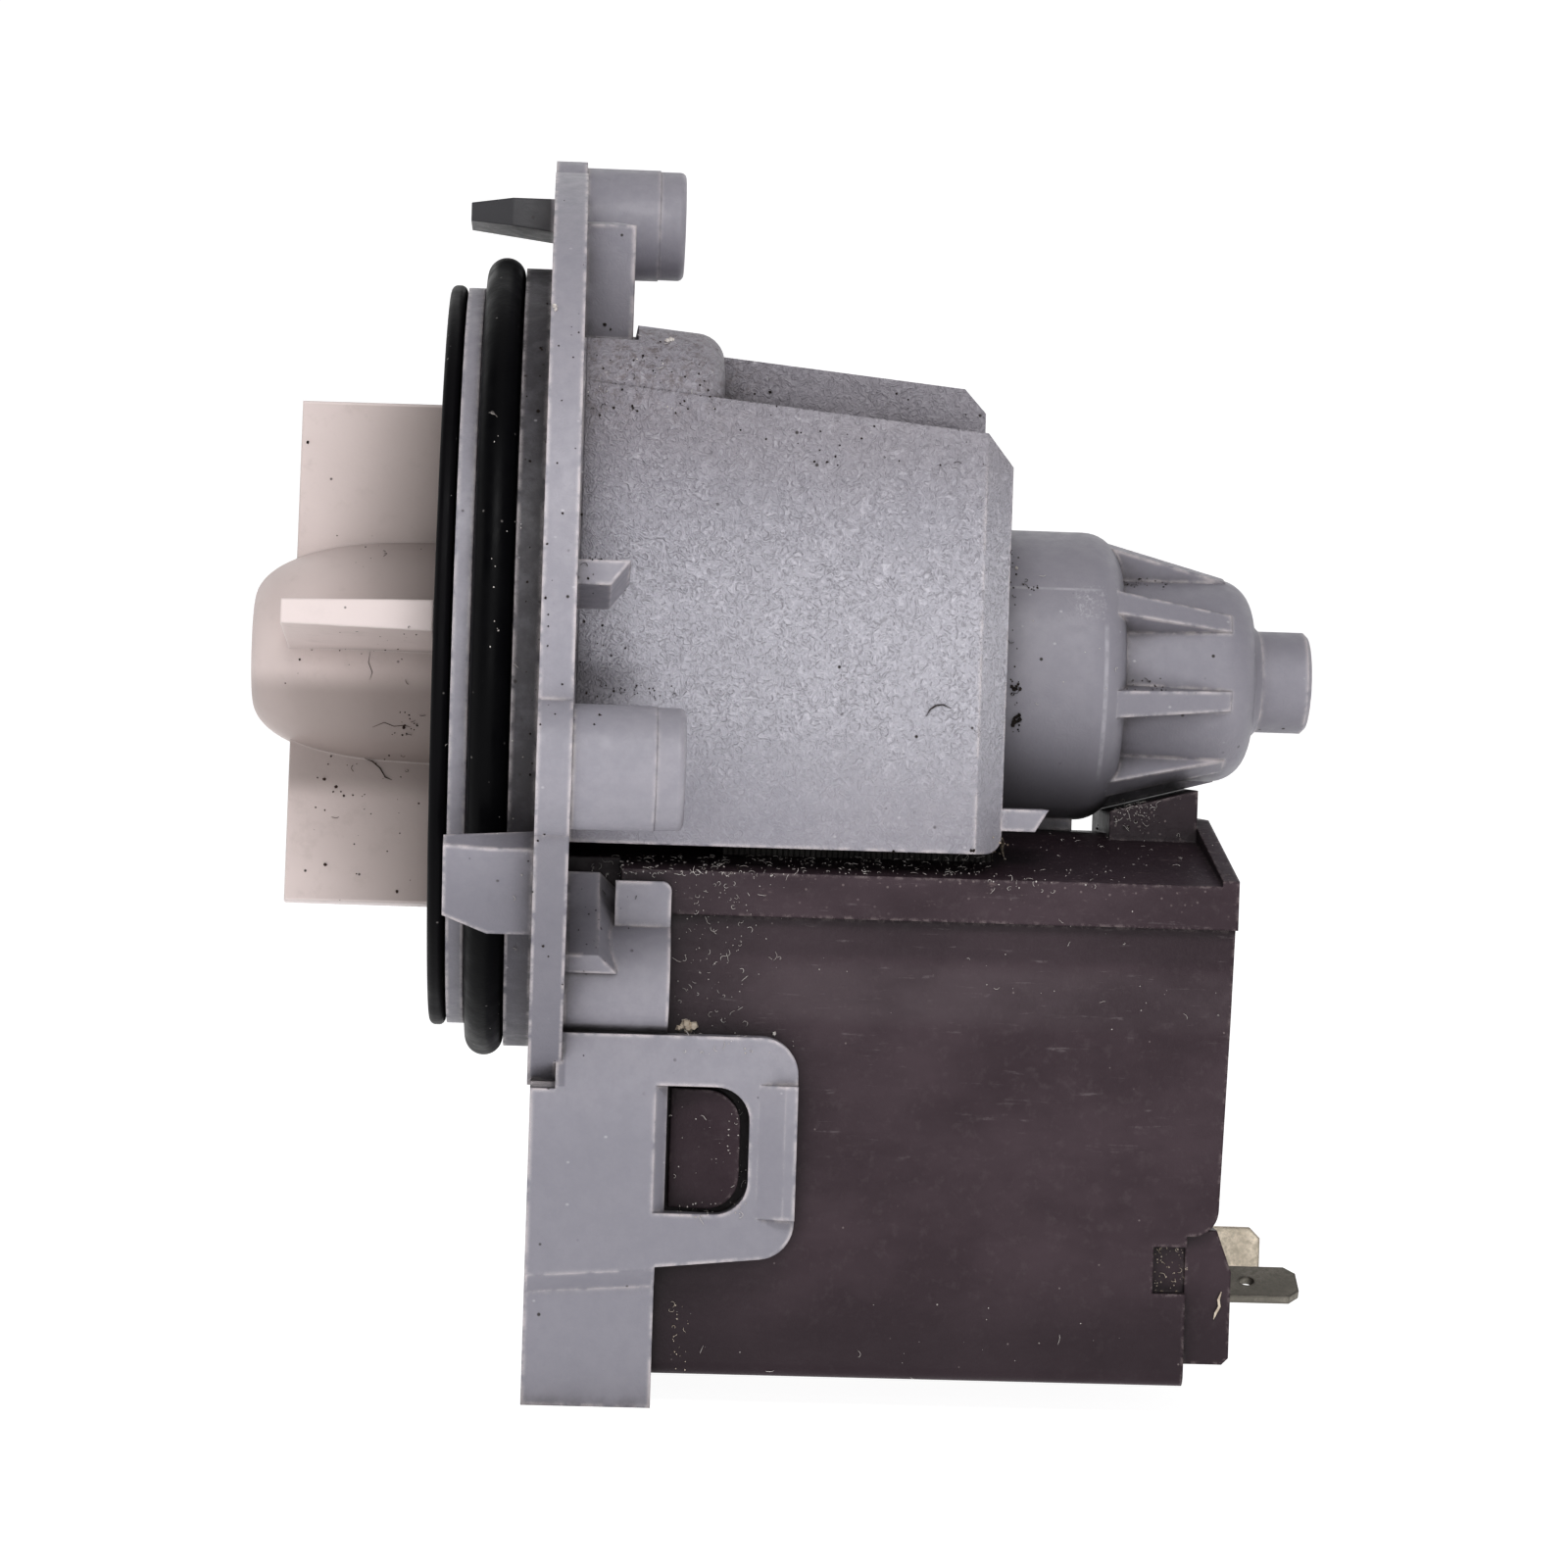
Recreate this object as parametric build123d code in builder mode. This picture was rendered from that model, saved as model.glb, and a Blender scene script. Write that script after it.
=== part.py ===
from build123d import *
import os
from math import cos, radians, sin, tan

os.makedirs("parts", exist_ok=True)

# Mains drain pump with a permanent-magnet rotor. X runs along the shaft from the impeller to the
# tail, Y from the near side to the far side, and Z is up. The origin is where the shaft axis meets
# the front face of the flange. Lengths are in millimetres and angles in degrees. A clock angle turns
# about X from +Y towards +Z.

# Clearances
overrun = 1.0
overlap = 0.5
slide_gap = 0.3
seat_gap = 0.05
running_gap = 0.04
end_float = 0.1

# Mounting flange, cut off flat below where the coil block's pocket begins
flange_radius = 45.5
flange_thickness = 3.0
flange_flat_inset = 7.3
lug_radius = 5.9

# Spigot and its seal
spigot_inset = 9.0
spigot_shoulder = 2.4
groove_depth = 2.65
groove_width = 3.7
seal_cord = 3.5
land_inset = 2.0
land_length = 1.6
spigot_wall = 3.2

# Screw bosses behind the flange
boss_count = 3
boss_inset = 0.9
boss_start_angle = 72.3
boss_radius = 5.35
boss_length = 9.6
boss_step_length = 2.5
boss_step = 0.12
boss_round = 0.6
screw_hole_radius = 2.4

# Half-round standoff beside the coil block, near side only, with a web above it
standoff_radius = 4.9
standoff_height = -28.4
standoff_length = 9.3
standoff_web_thickness = 1.2
standoff_web_top = -19.7
standoff_web_round = 0.8

# Hooks behind the flange, in pairs about the bosses
hook_angle_before = 22.3
hook_angle_after = 28.7
hook_inner_radius = 30.4
hook_inset = 4.4
hook_length = 4.6
hook_thickness = 2.2
hook_slant = 1.7
hook_relief = 1.2

# Fingers in front of the flange
finger_angle = 16.4
finger_gap = 3.2
finger_root_thickness = 3.1
finger_tip_thickness = 1.7
finger_tip_drop = 0.4
finger_width = 8.6
finger_side_taper = 1.5
finger_length = 7.8
finger_straight_share = 0.5

# Rotor can, ribbed tail and stub
can_radius = 13.6
can_wall = 1.2
can_shoulder = 54.2
can_round_share = 0.85
tail_wall = 2.4
tail_end = 66.9
tail_round = 3.4
stub_radius = 4.8
stub_end = 72.5
stub_root_cone = 0.9
stub_edge = 0.4
rib_count = 8
rib_start_angle = 12.0
rib_front = 52.8
rib_rear = 64.2
rib_front_drop = 0.9
rib_root_thickness = 2.6
rib_tip_thickness = 1.9
mouth_wall = 2.5
recess_floor = 0.0
recess_rib_count = 6
recess_rib_thickness = 1.6
recess_rib_drop = 1.0

# Bearings, their rubber cups, thrust washers and the shaft
shaft_radius = 2.0
shaft_edge = 0.3
bearing_radius = 5.0
bearing_length = 7.5
bearing_edge = 0.3
cup_ledge = 0.6
cup_flange_front = -1.5
cup_seat = 2.5
cup_sleeve_wall = 3.0
cup_lip = 2.0
cup_hole_radius = 2.6
rear_cup_sleeve = 2.2
rear_pocket_front = 50.5
rear_cup_wall = 2.4
shaft_pocket_radius = 3.0
shaft_pocket_depth = 2.4
washer_thickness = 1.0
washer_radius = 4.5
washer_step = 0.3

# Rotor
rotor_gap = 0.5
magnet_length = 29.0
magnet_edge = 0.5
carrier_radius = 4.2
carrier_flange_thickness = 1.5
carrier_flange_drop = 0.6

# Shroud over the stator
shroud_wall = 3.0
shroud_drop = 1.8
shroud_overhang = 0.5
shroud_chamfer = 2.6
shroud_corner = 1.6
roof_gap = 0.45
roof_slope = 5.5
hood_length = 12.8
hood_rise = 6.05
hood_roof_wall = 4.0
hood_corner = 7.5
hood_rear_round = 2.6
rail_half_width = 12.0
rail_rise = 4.6
rail_end_gap = 1.8
rail_chamfer = 2.0
stop_wall = 2.4
guide_thickness = 2.0
guide_height_shares = (-0.72, 0.06, 0.8)

# Latch tongues that hold the stack
tongue_rise = 2.3
tongue_thickness = 2.0
tongue_thin = 2.5
tongue_front = 34.0
tongue_reach = 4.7
tongue_hook = 2.4
tongue_slant = 1.2

# Keel under the can, which bears on the coil block's ridge
keel_reach = 8.5
keel_width = 4.0

# Stator stack
core_front = 17.0
stack_length = 24.5
core_rise = 3.9
leg_width = 9.5
leg_back = 3.4
guide_space = 3.0
pole_gap = 0.3
pole_step = 0.7
pole_step_angle = 28.0
yoke_top = -50.5
yoke_bottom = -60.8
core_corner = 1.5
rivet_radius = 1.5
rivet_head_radius = 2.4
rivet_head = 0.8
rivet_inset = 4.0

# Coils
bobbin_gap = 0.25
bobbin_wall = 1.0
bobbin_flange = 1.2
bobbin_cover = 1.5
bobbin_bottom = -50.0
winding_depth = 4.3
winding_inset = 0.2
wire_radius = 0.5
wire_height_share = 0.5
wire_offset_share = 0.9
terminal_seat_length = 4.0
terminal_seat_height = 6.0

# Coil block
block_rear = 63.2
block_rear_draft = 0.9
block_wall = 1.45
block_gap = 1.1
block_fall = 4.0
block_ridge_half_width = 4.0
block_bottom = -63.8
block_lip = 3.9
block_recess = 0.9
block_recess_drop = 8.3
block_waist = 0.4
block_edge = 1.2
block_step_height = -50.2
block_lower_rear = 59.6
block_corner = 2.4
relief_depth = 4.8
relief_drop = 10.2
relief_width = 4.5
saddle_front = 53.5
saddle_rear = 61.7
saddle_half_width = 7.0
saddle_gap = 0.35
rim_rise = 1.5
rim_side_rise = 0.5
side_recess_drop = 1.0
side_recess_length = 3.0
side_recess_height = 4.2
side_recess_depth = 1.4

# Terminal housing and its tabs
housing_rear = 63.8
housing_front = 56.0
housing_top = -53.4
housing_bottom = -61.8
housing_inset = 1.5
housing_slope_run = 1.4
housing_edge = 0.6
tab_width = 4.8
tab_thickness = 0.8
tab_tip = 71.7
tab_root = 50.0
tab_height = -55.5
tab_near_drop = 0.4
tab_near_offset = -12.0
tab_far_offset = 11.0
tab_near_tilt = 27.0
tab_tip_chamfer = 1.0
tab_hole_radius = 0.7
tab_hole_inset = 4.7

# Snap buttons and arms
arm_front = 0.3
arm_rear = 24.0
arm_top = -33.2
arm_bottom = -53.8
arm_bottom_rise = 1.2
arm_thickness = 2.7
arm_corner = 3.3
side_gap = 0.3
foot_rear = 11.8
foot_bottom = -66.5
foot_step_top = -54.9
foot_step_bottom = -56.5
foot_step = 1.4
foot_step_tilt = 4.0
pocket_floor_gap = 0.3
window_front = 12.5
window_rear = 19.8
window_top = -37.7
window_bottom = -49.0
window_corner = 3.0
window_bevel = 1.1
lip_front = 20.6
lip_flare = 0.9
lip_lead = 1.1
lip_margin = 0.3
button_gap = 0.35
button_rear_gap = 0.8
button_low = 0.6
button_high = 2.6

# Back plate and shaft seal
plate_gap = 0.2
plate_overhang = 0.2
plate_rim = 1.45
plate_edge = 0.6
plate_collar_gap = 0.2
plate_collar_wall = 2.2
seal_seat_radius = 5.0
seal_seat_wall = 2.0
seal_seat_depth = 4.0
seal_shelf = 1.0
seal_shelf_radius = 3.2
seal_lip_radius = 2.9

# Impeller
impeller_gap = 0.3
impeller_radius = 23.7
impeller_angle = 82.0
blade_count = 4
blade_length = 13.55
blade_front_thickness = 2.2
blade_rear_thickness = 2.8
hub_length = 17.25
hub_nose_radius = 4.6
hub_nose_pull = 3.3
hub_skirt_pull = 6.3
hub_skirt_drop = 0.45
hub_rear_radius = 10.6
hub_rear_straight = 5.6
hub_draft = 0.25
chamber_radius = 8.0
chamber_depth = 6.9
tip_bore_depth = 4.0
cover_thickness = 2.0
cover_inset = 0.7
cover_seat = 0.3

# Lost-motion drive
stop_angle = 90.0
stop_inner_radius = 4.1
bumper_angle = 4.0
bumper_web = 0.3
dog_angle = 80.0
dog_sleeve_radius = 3.8
dog_gap = 0.4

# Places on the flange and in front of it
spigot_radius = flange_radius - spigot_inset
groove_floor_radius = spigot_radius - groove_depth
seal_middle_radius = groove_floor_radius + seat_gap + seal_cord / 2
land_radius = spigot_radius - land_inset
boss_circle_radius = flange_radius - boss_inset
hook_outer_radius = flange_radius - hook_inset
finger_outer_radius = spigot_radius + finger_gap + finger_root_thickness
flange_flat = flange_flat_inset - flange_radius
spigot_end = -(spigot_shoulder + groove_width + land_length)
plate_back = spigot_end - plate_gap
plate_front = plate_back - plate_rim
plate_radius = land_radius + plate_overhang
impeller_rear = plate_front - impeller_gap
hub_front = impeller_rear - hub_length

# Places round the rotor's axis, each from the can or the bearings outwards
can_bore = can_radius - can_wall
cup_flange_radius = can_bore + cup_ledge
cup_sleeve_radius = bearing_radius + cup_sleeve_wall
rear_pocket_radius = bearing_radius + rear_cup_sleeve
tail_radius = rear_pocket_radius + tail_wall
plate_collar_radius = cup_flange_radius - plate_collar_gap
mouth_tube_radius = cup_flange_radius + mouth_wall
recess_radius = groove_floor_radius - spigot_wall
core_bore = can_radius + pole_gap
core_top = can_radius + core_rise
leg_outer = core_bore + pole_step + leg_back
leg_inner = leg_outer - leg_width
leg_middle = leg_outer - leg_width / 2

# Places on the stack and its coils
core_rear = core_front + stack_length
core_middle = core_front + stack_length / 2
window_width = leg_width + 2 * bobbin_gap
window_length = stack_length + 2 * bobbin_gap
tube_width = window_width + 2 * bobbin_wall
tube_length = window_length + 2 * bobbin_wall
wound_width = tube_width + 2 * winding_depth
wound_length = tube_length + 2 * winding_depth
bobbin_rear = core_middle + wound_length / 2

# Places on the coil block, its pocket and the shroud above it
block_front = flange_thickness + seat_gap
block_half_width = leg_middle + wound_width / 2 + block_wall
block_ridge = -can_radius - block_gap
block_side_top = block_ridge - block_fall
bobbin_top = block_side_top - bobbin_cover
wound_top = bobbin_top - bobbin_flange - winding_inset
wound_bottom = bobbin_bottom + bobbin_flange + winding_inset
housing_half_width = block_half_width - housing_inset
arm_inner = block_half_width + side_gap
arm_outer = arm_inner + arm_thickness
shroud_half_width = leg_outer + guide_space + shroud_wall
shroud_cavity = shroud_half_width - shroud_wall
shroud_bottom = block_ridge - shroud_drop
shroud_rear = core_rear + shroud_overhang
roof_fall = tan(radians(roof_slope))
roof_height = core_top + roof_gap + shroud_wall + (shroud_rear - flange_thickness) * roof_fall
rail_height = roof_height + rail_rise
hood_height = roof_height + hood_rise
tongue_top = block_ridge + tongue_rise

# Places on the rotor, its bearings and the drive
magnet_radius = can_bore - rotor_gap
magnet_front = core_middle - magnet_length / 2
magnet_rear = core_middle + magnet_length / 2
front_bearing_front = cup_flange_front + cup_lip
front_bearing_rear = front_bearing_front + bearing_length
rear_bearing_front = rear_pocket_front + slide_gap
rear_bearing_rear = rear_bearing_front + bearing_length
rear_pocket_end = rear_bearing_rear + rear_cup_wall
carrier_front = front_bearing_rear + washer_thickness + 2 * end_float
carrier_rear = rear_bearing_front - washer_thickness - 2 * end_float
shaft_rear = rear_pocket_end + shaft_pocket_depth - overrun
journal_radius = shaft_radius + running_gap
chamber_rear = impeller_rear - cover_inset - cover_thickness
chamber_front = chamber_rear - chamber_depth
shaft_front = chamber_front - tip_bore_depth + end_float


def clock_direction(angle):
    """Unit vector across the shaft at a clock angle."""
    return Vector(0, cos(radians(angle)), sin(radians(angle)))


def outward_plane(angle, radius):
    """Plane square to the radius: X first, then against the clock."""
    direction = clock_direction(angle)
    return Plane(origin=direction * radius, x_dir=(1, 0, 0), z_dir=direction)


def shaft_plane(angle):
    """Plane through the shaft axis: X first, then the radius."""
    direction = clock_direction(angle)
    return Plane(origin=(0, 0, 0), x_dir=(1, 0, 0), z_dir=Vector(1, 0, 0).cross(direction))


def ring_sector(inner_radius, outer_radius, middle_angle, width_angle, mode=Mode.ADD):
    """Face of a ring sector about the sketch's centre."""
    start = middle_angle - width_angle / 2
    with BuildLine() as outline:
        outer_arc = CenterArc((0, 0), outer_radius, start, width_angle)
        inner_arc = CenterArc((0, 0), inner_radius, start, width_angle)
        Line(outer_arc @ 0, inner_arc @ 0)
        Line(outer_arc @ 1, inner_arc @ 1)
    return make_face(outline.edges(), mode=mode)


def turned(*points):
    """Solid turned about the shaft from a closed outline."""
    with BuildSketch(Plane.XY) as outline:
        with BuildLine():
            Polyline(*points, close=True)
        make_face()
    return revolve(outline.sketch, axis=Axis.X)


def hood_block(side_wall, roof_wall, front, rear, bottom):
    """Block under the hood's falling roof, drawn in by its walls for the inside."""
    top = hood_height - roof_wall
    half_width = shroud_half_width - side_wall
    with BuildSketch(Plane.XZ) as side:
        with BuildLine():
            Polyline(
                (front, bottom),
                (rear, bottom),
                (rear, top - (rear - flange_thickness) * roof_fall),
                (front, top - (front - flange_thickness) * roof_fall),
                close=True,
            )
        make_face()
    extrude(side.sketch, amount=half_width, both=True)


with BuildPart() as hood_form:
    hood_block(0, 0, flange_thickness, flange_thickness + hood_length, 0)
    roof_edges = hood_form.faces().sort_by(Axis.Z)[-1].edges().sort_by(Axis.Y)
    fillet([roof_edges[0], roof_edges[-1]], hood_corner)
    rear_edges = hood_form.faces().sort_by(Axis.X)[-1].edges().group_by(Axis.Z)[1:]
    upper_edges = [
        edge for group in rear_edges for edge in group if edge.center().Z > roof_height - hood_corner
    ]
    fillet(upper_edges, hood_rear_round)

with BuildPart() as hood_cavity:
    hood_block(
        shroud_wall, hood_roof_wall, flange_thickness, core_front - stop_wall, shroud_bottom - overrun
    )
    roof_edges = hood_cavity.faces().sort_by(Axis.Z)[-1].edges().sort_by(Axis.Y)
    fillet([roof_edges[0], roof_edges[-1]], hood_corner - shroud_wall)

# Box over the stator with a falling roof and bevelled rear edges
with BuildPart() as shroud_form:
    with BuildSketch(Plane.XZ):
        with BuildLine():
            Polyline(
                (flange_thickness, shroud_bottom),
                (shroud_rear, shroud_bottom),
                (shroud_rear, roof_height - (shroud_rear - flange_thickness) * roof_fall),
                (flange_thickness, roof_height),
                close=True,
            )
        make_face()
    extrude(amount=shroud_half_width, both=True)
    rear_edges = shroud_form.faces().sort_by(Axis.X)[-1].edges().sort_by(Axis.Z)[1:]
    chamfer(rear_edges, shroud_chamfer)

# Screw bosses, each with a faint step near its end
with BuildPart() as boss_form:
    with BuildSketch(Plane.YZ.offset(flange_thickness - overlap)):
        with PolarLocations(boss_circle_radius, boss_count, start_angle=boss_start_angle):
            Circle(boss_radius)
    extrude(amount=boss_length - boss_step_length + overlap)
    with BuildSketch(Plane.YZ.offset(flange_thickness)):
        with PolarLocations(boss_circle_radius, boss_count, start_angle=boss_start_angle):
            Circle(boss_radius - boss_step)
    extrude(amount=boss_length)
    fillet(boss_form.faces().sort_by(Axis.X)[-boss_count:].edges(), boss_round)

# Near half of the pocket and its snap arm, with the near latch tongue and stack guides
with BuildPart() as side_form:
    with BuildSketch(Plane.XZ.offset(arm_inner)) as wall_side:
        with BuildLine():
            Polyline(
                (flange_thickness - overlap, arm_top),
                (arm_rear, arm_top),
                (arm_rear, arm_bottom + arm_bottom_rise),
                (foot_rear, arm_bottom),
                (foot_rear, foot_bottom),
                (arm_front, foot_bottom),
                (arm_front, flange_flat),
                (flange_thickness - overlap, flange_flat),
                close=True,
            )
        make_face()
        fillet(wall_side.vertices().sort_by(Axis.X)[-2:], arm_corner)
    extrude(amount=arm_thickness)
    with BuildSketch(Plane.XZ.offset(arm_inner - overrun)) as window:
        with BuildLine():
            Polyline(
                (window_front, window_bottom),
                (window_rear, window_bottom),
                (window_rear, window_top),
                (window_front, window_top),
                close=True,
            )
        make_face()
        fillet(window.vertices().sort_by(Axis.X)[-2:], window_corner)
    extrude(amount=arm_thickness + 2 * overrun, mode=Mode.SUBTRACT)
    # Bevel along the window's straight edge
    with BuildSketch(Plane.XY.offset(window_bottom)):
        with BuildLine():
            Polyline(
                (window_front, -arm_outer + window_bevel),
                (window_front, -arm_outer - overrun),
                (window_front - window_bevel - overrun, -arm_outer - overrun),
                close=True,
            )
        make_face()
    extrude(amount=window_top - window_bottom, mode=Mode.SUBTRACT)
    # Flared lip that the button rides under
    with BuildSketch(Plane.XY.offset(window_bottom - lip_margin)):
        with BuildLine():
            Polyline(
                (lip_front, -arm_outer + overlap),
                (lip_front, -arm_outer),
                (arm_rear - lip_lead, -arm_outer - lip_flare),
                (arm_rear, -arm_outer - lip_flare),
                (arm_rear, -arm_outer + overlap),
                close=True,
            )
        make_face()
    extrude(amount=window_top - window_bottom + 2 * lip_margin)
    with BuildSketch(Plane.XY.offset(window_bottom - lip_margin)):
        with BuildLine():
            Polyline(
                (arm_rear - 2 * lip_lead, -arm_inner + overrun),
                (arm_rear - 2 * lip_lead, -arm_inner),
                (arm_rear + overrun, -arm_inner - lip_lead),
                (arm_rear + overrun, -arm_inner + overrun),
                close=True,
            )
        make_face()
    extrude(amount=window_top - window_bottom + 2 * lip_margin, mode=Mode.SUBTRACT)
    # Step down to the foot
    step_way = Vector(cos(radians(foot_step_tilt)), 0, sin(radians(foot_step_tilt)))
    with BuildSketch(Plane(origin=(arm_front - overrun, 0, foot_step_top), x_dir=(0, 1, 0), z_dir=step_way)):
        with BuildLine():
            step_fall = foot_step_top - foot_step_bottom
            step_depth = foot_step_top - foot_bottom + 2 * overrun
            Polyline(
                (-arm_outer - overrun, 0),
                (-arm_outer, 0),
                (-arm_outer + foot_step, -step_fall),
                (-arm_outer + foot_step, -step_depth),
                (-arm_outer - overrun, -step_depth),
                close=True,
            )
        make_face()
    extrude(amount=foot_rear - arm_front + 2 * overrun, mode=Mode.SUBTRACT)
    # Front plate and floor of the pocket
    with BuildSketch(Plane.XZ):
        with BuildLine():
            Polyline(
                (arm_front, flange_flat + overlap),
                (flange_thickness, flange_flat + overlap),
                (flange_thickness, block_bottom - pocket_floor_gap),
                (foot_rear, block_bottom - pocket_floor_gap),
                (foot_rear, foot_bottom),
                (arm_front, foot_bottom),
                close=True,
            )
        make_face()
    extrude(amount=arm_outer - foot_step)
    # Latch tongue along the shroud's wall, with its nose behind the stack
    for inner, outer, front in (
        (shroud_cavity - tongue_thin, shroud_cavity + overlap, tongue_front),
        (shroud_cavity - tongue_thin - tongue_hook, shroud_cavity - tongue_thin + overlap,
         core_rear + slide_gap),
    ):
        with BuildSketch(Plane.XZ.offset(inner)):
            with BuildLine():
                Polyline(
                    (front, tongue_top),
                    (core_rear + tongue_reach, tongue_top),
                    (core_rear + tongue_reach - tongue_slant, tongue_top - tongue_thickness),
                    (front, tongue_top - tongue_thickness),
                    close=True,
                )
            make_face()
        extrude(amount=outer - inner)
    # Guides that centre the stack in the shroud
    with BuildSketch(Plane.YZ.offset(core_front - overlap)):
        for share in guide_height_shares:
            with Locations((-(leg_outer + slide_gap + shroud_cavity + overlap) / 2, core_top * share)):
                Rectangle(shroud_cavity + overlap - leg_outer - slide_gap, guide_thickness)
    extrude(amount=stack_length - shroud_chamfer)

with BuildPart() as motor_housing:
    # Shroud, hood and top rail, opened out for the stack and the coil block
    add(shroud_form.part)
    add(hood_form.part)
    with BuildSketch(Plane.XZ) as rail:
        with BuildLine():
            rail_rear = shroud_rear - rail_end_gap
            rail_rear_height = rail_height - (rail_rear - flange_thickness) * roof_fall
            Polyline(
                (flange_thickness, 0),
                (rail_rear, 0),
                (rail_rear, rail_rear_height),
                (flange_thickness, rail_height),
                close=True,
            )
        make_face()
        chamfer(rail.vertices().sort_by_distance((rail_rear, rail_rear_height))[0], rail_chamfer)
    extrude(amount=rail_half_width, both=True)
    add(hood_cavity.part, mode=Mode.SUBTRACT)
    with BuildSketch(Plane.XZ):
        with BuildLine():
            cavity_top = roof_height - shroud_wall
            Polyline(
                (core_front, shroud_bottom - overrun),
                (shroud_rear + overrun, shroud_bottom - overrun),
                (shroud_rear + overrun, cavity_top - (shroud_rear + overrun - flange_thickness) * roof_fall),
                (core_front, cavity_top - (core_front - flange_thickness) * roof_fall),
                close=True,
            )
        make_face()
    extrude(amount=shroud_cavity, both=True, mode=Mode.SUBTRACT)
    # Rounded lower rear corner of both side walls
    with BuildSketch(Plane.XZ):
        with Locations((shroud_rear, shroud_bottom)):
            Rectangle(2 * shroud_corner, 2 * shroud_corner)
        with Locations((shroud_rear - shroud_corner, shroud_bottom + shroud_corner)):
            Circle(shroud_corner, mode=Mode.SUBTRACT)
    extrude(amount=shroud_half_width, both=True, mode=Mode.SUBTRACT)
    # The stop wall between the two hollows ends above the coil block's ridge
    with BuildSketch(Plane.YZ.offset(core_front - stop_wall - overrun)):
        with Locations((0, block_ridge + slide_gap)):
            Rectangle(2 * shroud_cavity, shroud_drop + overrun, align=(Align.CENTER, Align.MAX))
    extrude(amount=stop_wall + 2 * overrun, mode=Mode.SUBTRACT)

    # Relief in the hood, so that the hook above it stands free
    crown_hook = clock_direction(boss_start_angle + hook_angle_after) * hook_inner_radius
    with BuildSketch(Plane.XY.offset(crown_hook.Z - hook_relief)):
        with Locations((flange_thickness, crown_hook.Y + hook_thickness)):
            Rectangle(hook_length + slide_gap, shroud_half_width, align=(Align.MIN, Align.MAX))
    extrude(amount=hood_rise, mode=Mode.SUBTRACT)

    # Flange with a lug round each boss
    with BuildSketch(Plane.YZ):
        Circle(flange_radius)
        with Locations((0, flange_flat)):
            Rectangle(2 * flange_radius, flange_radius, align=(Align.CENTER, Align.MAX), mode=Mode.SUBTRACT)
        with PolarLocations(boss_circle_radius, boss_count, start_angle=boss_start_angle):
            Circle(lug_radius)
    extrude(amount=flange_thickness)

    # Spigot, rotor can, tail and stub in one turned form
    with BuildSketch(Plane.XY) as turned_form:
        with BuildLine():
            Polyline(
                (spigot_end, 0),
                (spigot_end, land_radius),
                (spigot_end + land_length, land_radius),
                (spigot_end + land_length, groove_floor_radius),
                (-spigot_shoulder, groove_floor_radius),
                (-spigot_shoulder, spigot_radius),
                (0, spigot_radius),
                (0, can_radius),
                (can_shoulder, can_radius),
                (can_shoulder, tail_radius),
                (tail_end, tail_radius),
                (tail_end, stub_radius),
                (stub_end, stub_radius),
                (stub_end, 0),
                close=True,
            )
        make_face()
        corners = turned_form.vertices()
        fillet(
            corners.sort_by_distance((can_shoulder, can_radius))[0],
            (can_radius - tail_radius) * can_round_share,
        )
        corners = turned_form.vertices()
        fillet(corners.sort_by_distance((tail_end, tail_radius))[0], tail_round)
        corners = turned_form.vertices()
        chamfer(corners.sort_by_distance((tail_end, stub_radius))[0], stub_root_cone)
        corners = turned_form.vertices()
        chamfer(corners.sort_by_distance((stub_end, stub_radius))[0], stub_edge)
    revolve(axis=Axis.X)

    # Keel under the can
    with BuildSketch(Plane.XZ):
        with BuildLine():
            keel_front = core_rear + slide_gap
            keel_rear = shroud_rear + keel_reach
            Polyline(
                (keel_front, block_ridge + seat_gap),
                (keel_rear, block_ridge + seat_gap),
                (keel_rear, can_wall / 2 - can_radius),
                (keel_front, can_wall / 2 - can_radius),
                close=True,
            )
        make_face()
    extrude(amount=keel_width / 2, both=True)

    # Tapered ribs from the can's shoulder down to the tail
    for index in range(rib_count):
        direction = clock_direction(rib_start_angle + index * 360 / rib_count)
        plane_front = Plane(origin=(rib_front, 0, 0), x_dir=direction, z_dir=(1, 0, 0))
        plane_rear = Plane(origin=(rib_rear, 0, 0), x_dir=direction, z_dir=(1, 0, 0))
        for plane, top, thickness in (
            (plane_front, can_radius - rib_front_drop, rib_root_thickness),
            (plane_rear, tail_radius + seat_gap, rib_tip_thickness),
        ):
            with BuildSketch(plane):
                with Locations((top - stub_radius / 2, 0)):
                    Rectangle(stub_radius, thickness)
        loft(ruled=True)

    # Bosses, standoff and hooks behind the flange
    add(boss_form.part)
    with BuildSketch(Plane.YZ.offset(flange_thickness)):
        with Locations((-block_half_width, standoff_height)):
            Circle(standoff_radius)
    extrude(amount=standoff_length)
    with BuildSketch(Plane.XZ.offset(block_half_width)) as web:
        with BuildLine():
            web_front = flange_thickness + hook_length - slide_gap
            web_rear = flange_thickness + standoff_length
            Polyline(
                (web_front, standoff_height),
                (web_rear, standoff_height),
                (web_rear, standoff_web_top),
                (web_front, standoff_web_top),
                close=True,
            )
        make_face()
        fillet(web.vertices().sort_by_distance((web_rear, standoff_web_top))[0], standoff_web_round)
    extrude(amount=side_gap + standoff_web_thickness)
    # Room for the coil block between the arms
    with BuildSketch(Plane.YZ.offset(flange_thickness)):
        with Locations((0, block_side_top)):
            Rectangle(2 * arm_inner, -block_bottom, align=(Align.CENTER, Align.MAX))
    extrude(amount=boss_length + overrun, mode=Mode.SUBTRACT)
    for boss_index in range(boss_count):
        boss_angle = boss_start_angle + boss_index * 360 / boss_count
        for offset_angle, boss_side in ((-hook_angle_before, -1), (hook_angle_after, 1)):
            hook_middle = clock_direction(boss_angle + offset_angle) * hook_outer_radius
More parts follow.
